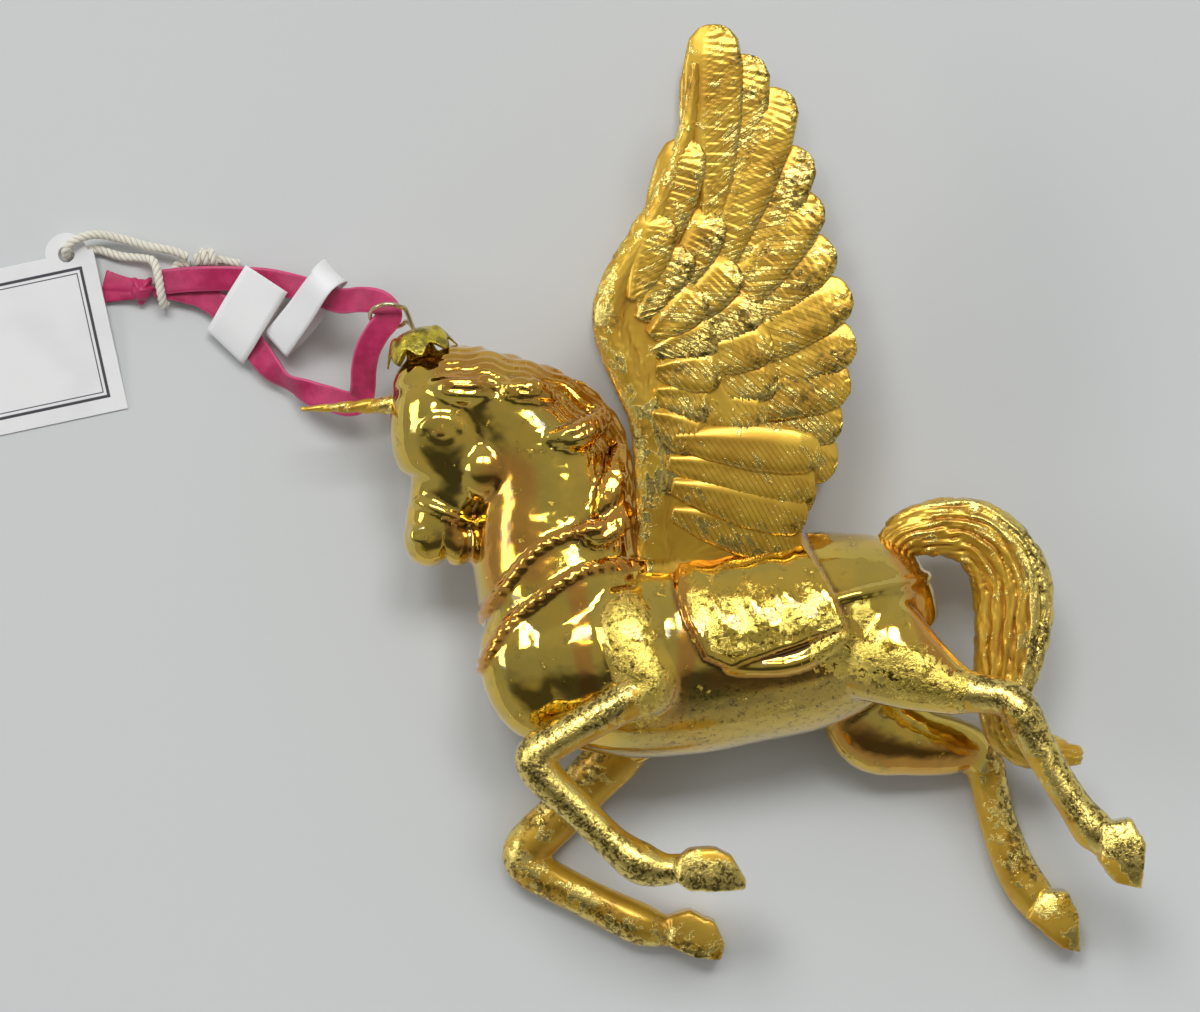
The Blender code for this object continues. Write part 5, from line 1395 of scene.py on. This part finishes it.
# %% Finish of the castings
def gold_casting():
    """Amber lacquer on a casting, rubbed with leaf that flaked and left dark specks, and with painted shade
    as dark specks along the legs' lower sides.
    """
    f = Finish("gilded_casting")
    crease, amber, leaf, mottle = (f.mark(name) for name in GOLD_MARKS)
    vane, barb = f.mark("vane"), f.mark("barb")
    cloud = f.noise(7 * MM, 3.0, 0.5)
    patch = f.noise(4.5 * MM, 3.0, 0.6)
    fine = f.noise(1.3 * MM, 6.0, 0.66, warp=0.5)
    speck = f.noise(0.55 * MM, 4.0, 0.62)
    base = f.blend(f.step(cloud, 0.35, 0.65), colour(0.74, 0.46, 0.045), colour(0.62, 0.34, 0.028))
    base = f.blend(f.step(crease, 0.2, 2.4) * 0.75, base, colour(0.34, 0.13, 0.012))
    on_barbs = f.step(vane, 0.02, 0.12)
    strokes = f.node("ShaderNodeCombineXYZ", {}, {0: barb * 1.3, 1: vane * 1.6, 2: cloud * 3.0})
    glint = f.noise(1.0, 2.0, 0.5, vector=strokes)
    groove = f.step(barb.fraction(), 0.34, 0.04) * on_barbs
    flake = f.step(leaf + (fine - 0.5) * 1.5 + (patch - 0.5) * 2.4 + (glint - 0.5) * on_barbs * 2.0
                   - groove * 0.8 - crease * 0.10, 0.46, 0.60)
    base = f.blend(groove * 0.62, base, colour(0.24, 0.12, 0.016))
    base = f.blend(flake * 0.95, base, colour(0.90, 0.70, 0.19))
    # Dark specks where the leaf wore off, and as painted shade along the legs' lower sides.
    wear_and_shade = f.step(leaf * 0.7 + mottle * 0.9 + (cloud - 0.5) * 2.4, 0.40, 0.80)
    bare_and_shade_specks = wear_and_shade * f.step(fine, 0.54, 0.45) * f.step(speck, 0.38, 0.48)
    base = f.blend(bare_and_shade_specks * 0.90, base, colour(0.13, 0.09, 0.014))
    wrinkle = f.noise(0.6 * MM, 5.0, 0.7, warp=0.8)
    height = wrinkle * (0.10 + flake * 0.8)
    return f.surface(
        Base_Color=base, Metallic=0.60 + flake * 0.38, Roughness=0.29 - flake * 0.12 + amber * 0.05,
        Coat_Weight=0.25, Coat_Roughness=0.12, Normal=f.bump(height, 0.10 * MM))


cast_finish = gold_casting()
print("castings:", cast_finish.name)


# %% Finishes of the cap and the wire
def cap_foil():
    """Thin yellow foil, stained olive in its pleats."""
    f = Finish("cap_foil")
    crease = f.mark("crease")
    cloud = f.noise(2.2 * MM, 4.0, 0.6)
    speck = f.noise(0.5 * MM, 4.0, 0.6)
    base = f.blend(f.step(cloud, 0.40, 0.62), colour(0.80, 0.66, 0.08), colour(0.30, 0.24, 0.05))
    base = f.blend(f.step(speck, 0.60, 0.70), base, colour(0.10, 0.08, 0.02))
    base = f.blend(f.step(crease, 0.3, 2.0) * 0.7, base, colour(0.16, 0.09, 0.02))
    return f.surface(Base_Color=base, Metallic=1.0, Roughness=0.20 + cloud * 0.15,
                     Normal=f.bump(f.noise(0.9 * MM, 3.0, 0.6), 0.12 * MM))


def bright_wire():
    """Drawn brassy wire, a little dull along its length."""
    f = Finish("bright_wire")
    streak = f.noise(0.8 * MM, 3.0, 0.6)
    base = f.blend(streak, colour(0.78, 0.68, 0.44), colour(0.52, 0.42, 0.22))
    return f.surface(Base_Color=base, Metallic=1.0, Roughness=0.16 + streak * 0.16)


cap_finish, bright_finish = cap_foil(), bright_wire()
print("cap and wire:", cap_finish.name, bright_finish.name)

# %% [markdown]
# Satin shines along its floats. Its colour is a saturated pink that pales at the woven edges, with very
# fine ribs across the band. Cotton is matt and fuzzy, with painted shade where its yarns touch.


# %% Finishes of the ribbon and the string
def satin(name, woven=True):
    """Magenta satin with paler edges and fine ribs."""
    f = Finish(name)
    across = f.mark("across")
    cloud = f.noise(2.5 * MM, 3.0, 0.55)
    base = f.blend(f.step(cloud, 0.35, 0.7), colour(0.42, 0.014, 0.085), colour(0.56, 0.028, 0.135))
    height = f.noise(0.25 * MM, 2.0, 0.6)
    if woven:
        edge = f.step(across * across, 0.66, 0.84)
        base = f.blend(edge * 0.65, base, colour(0.74, 0.10, 0.25))
        ribs = f.node("ShaderNodeTexWave", {"wave_type": "BANDS", "bands_direction": "X"}, {
            "Vector": f.node("ShaderNodeCombineXYZ", {}, {0: f.mark("along"), 1: across, 2: 0.0}),
            "Scale": 1.2, "Distortion": 0.6, "Detail": 1.0}, output=1)
        height = height * 0.4 + ribs * 0.6
    return f.surface(Base_Color=base, Roughness=0.34 + cloud * 0.14, Sheen_Weight=0.1, Sheen_Roughness=0.4,
                     Normal=f.bump(height, 0.03 * MM))


def cotton():
    """Cream cotton, with painted shade between its yarns."""
    f = Finish("cotton_string")
    lobe = f.mark("yarn")
    fuzz = f.noise(0.22 * MM, 4.0, 0.7)
    cloud = f.noise(5 * MM, 2.0, 0.5)
    # Painted shade: the colour darkens between the yarns, where they touch.
    base = f.blend(f.step(lobe, 0.05, 0.6), colour(0.46, 0.41, 0.30), colour(0.84, 0.80, 0.68))
    base = f.blend(f.step(cloud, 0.4, 0.7) * 0.35, base, colour(0.72, 0.69, 0.58))
    base = f.blend(f.step(fuzz, 0.5, 0.75) * 0.4, base, colour(0.92, 0.90, 0.82))
    return f.surface(Base_Color=base, Roughness=0.9, Sheen_Weight=0.3, Normal=f.bump(fuzz, 0.10 * MM))


satin_finish = satin("magenta_satin")
knot_finish = satin("magenta_satin_knot", woven=False)
cotton_finish = cotton()
print("soft finishes:", satin_finish.name, knot_finish.name, cotton_finish.name)

# %% [markdown]
# The card has a faint tooth and a double frame line, drawn from each point's distance to the card's edge.
# The labels are the same card, bare.


# %% Finishes of the tag and the labels
FRAME_INSET = 2.7
FRAME_LINES = ((0.0, 0.55), (1.05, 1.25))
INK_EDGE = 0.05


def card(name, framed):
    """White card, with or without its frame lines."""
    f = Finish(name)
    tooth = f.noise(0.35 * MM, 4.0, 0.6)
    cloud = f.noise(14 * MM, 2.0, 0.5)
    base = f.blend(f.step(cloud, 0.4, 0.7), colour(0.86, 0.86, 0.86), colour(0.80, 0.80, 0.81))
    if framed:
        x, y = f.mark("card_x"), f.mark("card_y")
        inset = x.at_most(TAG_WIDTH / MM - x).at_most(y.at_most(TAG_HEIGHT / MM - y)) - FRAME_INSET
        for start, end in FRAME_LINES:
            begun = f.step(inset, start - INK_EDGE, start + INK_EDGE)
            over = f.step(inset, end - INK_EDGE, end + INK_EDGE)
            base = f.blend(begun * (1.0 - over), base, colour(0.05, 0.05, 0.06))
    return f.surface(Base_Color=base, Roughness=0.55 + tooth * 0.15, Normal=f.bump(tooth, 0.02 * MM))


tag_finish, label_finish = card("framed_card", True), card("white_card", False)
print("card:", tag_finish.name, label_finish.name)

# %% [markdown]
# Each piece takes its finish, rides on the frame's one body, and stands for the node whose place it has.

# %% Pieces onto the frame
DRESSED = [
    (body, "glass_body", "mirrored_gold_glass", glass_finish),
    (horn, "horn", "gilded_casting", cast_finish),
    (tail, "tail", "gilded_casting", cast_finish),
    (cap, "neck_cap", "cap_foil", cap_finish),
    (wire, "hanger_wire", "bright_wire", bright_finish),
    (ribbon, "ribbon", "magenta_satin", satin_finish),
    (ribbon_knot, "ribbon_knot", "magenta_satin", knot_finish),
    (string, "hang_string", "cotton_string", cotton_finish),
    (string_knot, "string_knot", "cotton_string", cotton_finish),
    (tag, "hang_tag", "white_card", tag_finish),
    (label_lower, "label_lower", "white_card", label_finish),
    (label_upper, "label_upper", "white_card", label_finish)]
DRESSED += [(piece, node, "gilded_casting", cast_finish) for node, piece in {**legs, **wings}.items()]

for piece, node, slot, finish in DRESSED:
    piece.data.materials.clear()
    piece.data.materials.append(finish)
    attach(piece, "root")
    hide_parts(node)
print(len(DRESSED), "pieces dressed")

# %% Cords
print("the ribbon and the string are made above")

# %% [markdown]
# A mirror shows its room, so the light matters as much as the gold. Two small bright windows hang
# overhead, on the side of the wing tips, and a broad doorway shines from the left. The walls are a plain
# grey, and the side where someone stands to look is darker, from half way up. The floor is pale.

# %% Floor
FLOOR_SIZE = 6.0

bpy.ops.mesh.primitive_plane_add(size=FLOOR_SIZE, location=(0.0, 0.0, 0.0))
floor = bpy.context.active_object
floor.name = "floor"
f = Finish("pale_table")
base = f.blend(f.noise(0.25, 2.0, 0.5), colour(0.61, 0.63, 0.63), colour(0.64, 0.66, 0.655))
floor.data.materials.append(f.surface(Base_Color=base, Roughness=0.6))
print("floor laid")

# %% Room light
WALL_LIGHT, NORTH_GLOW, LOW_GLOW, DARK_SIDE = 0.33, 0.08, 0.04, 0.27
LEAST_LIGHT, WINDOW_LIGHT, DOORWAY_LIGHT = 0.03, 11.5, 4.0
PANE_EDGE = 0.03

room = Finish("room", bpy.data.worlds.new("room"))
bpy.context.scene.world = room.owner
way = room.node("ShaderNodeTexCoord", output=0)
east, north, up = (room.node("ShaderNodeSeparateXYZ", {}, {0: way}, output=k) for k in range(3))
high = up.at_least(0.02)
slope_x, slope_y = east / high, north / high


def within(value, middle, half):
    """1 where a value is less than half away from a middle, with a soft edge."""
    return room.step((value - middle).size(), half + PANE_EDGE, half - PANE_EDGE)


def pane(x, y, half_x, half_y):
    """A bright rectangle overhead, at slopes x and y from the zenith."""
    return within(slope_x, x, half_x) * within(slope_y, y, half_y) * room.step(up, 0.02, 0.1)


windows = pane(-0.23, 0.56, 0.17, 0.18) + pane(0.20, 0.56, 0.17, 0.18)
doorway = pane(-1.9, 0.3, 0.6, 0.5)
low = room.step(up, 0.72, 0.42)
dark = room.step(north, -0.10, -0.45) * (1.0 - low)
shade = WALL_LIGHT + room.step(north, -0.05, 0.6) * NORTH_GLOW - dark * DARK_SIDE + low * LOW_GLOW
strength = shade.at_least(LEAST_LIGHT) + windows * WINDOW_LIGHT + doorway * DOORWAY_LIGHT
light = room.node("ShaderNodeBackground", {}, {"Color": colour(1.0, 1.0, 1.0), "Strength": strength})
room.send_out(light, "ShaderNodeOutputWorld")
bpy.context.scene.view_settings.view_transform = "Standard"
print("room lit")
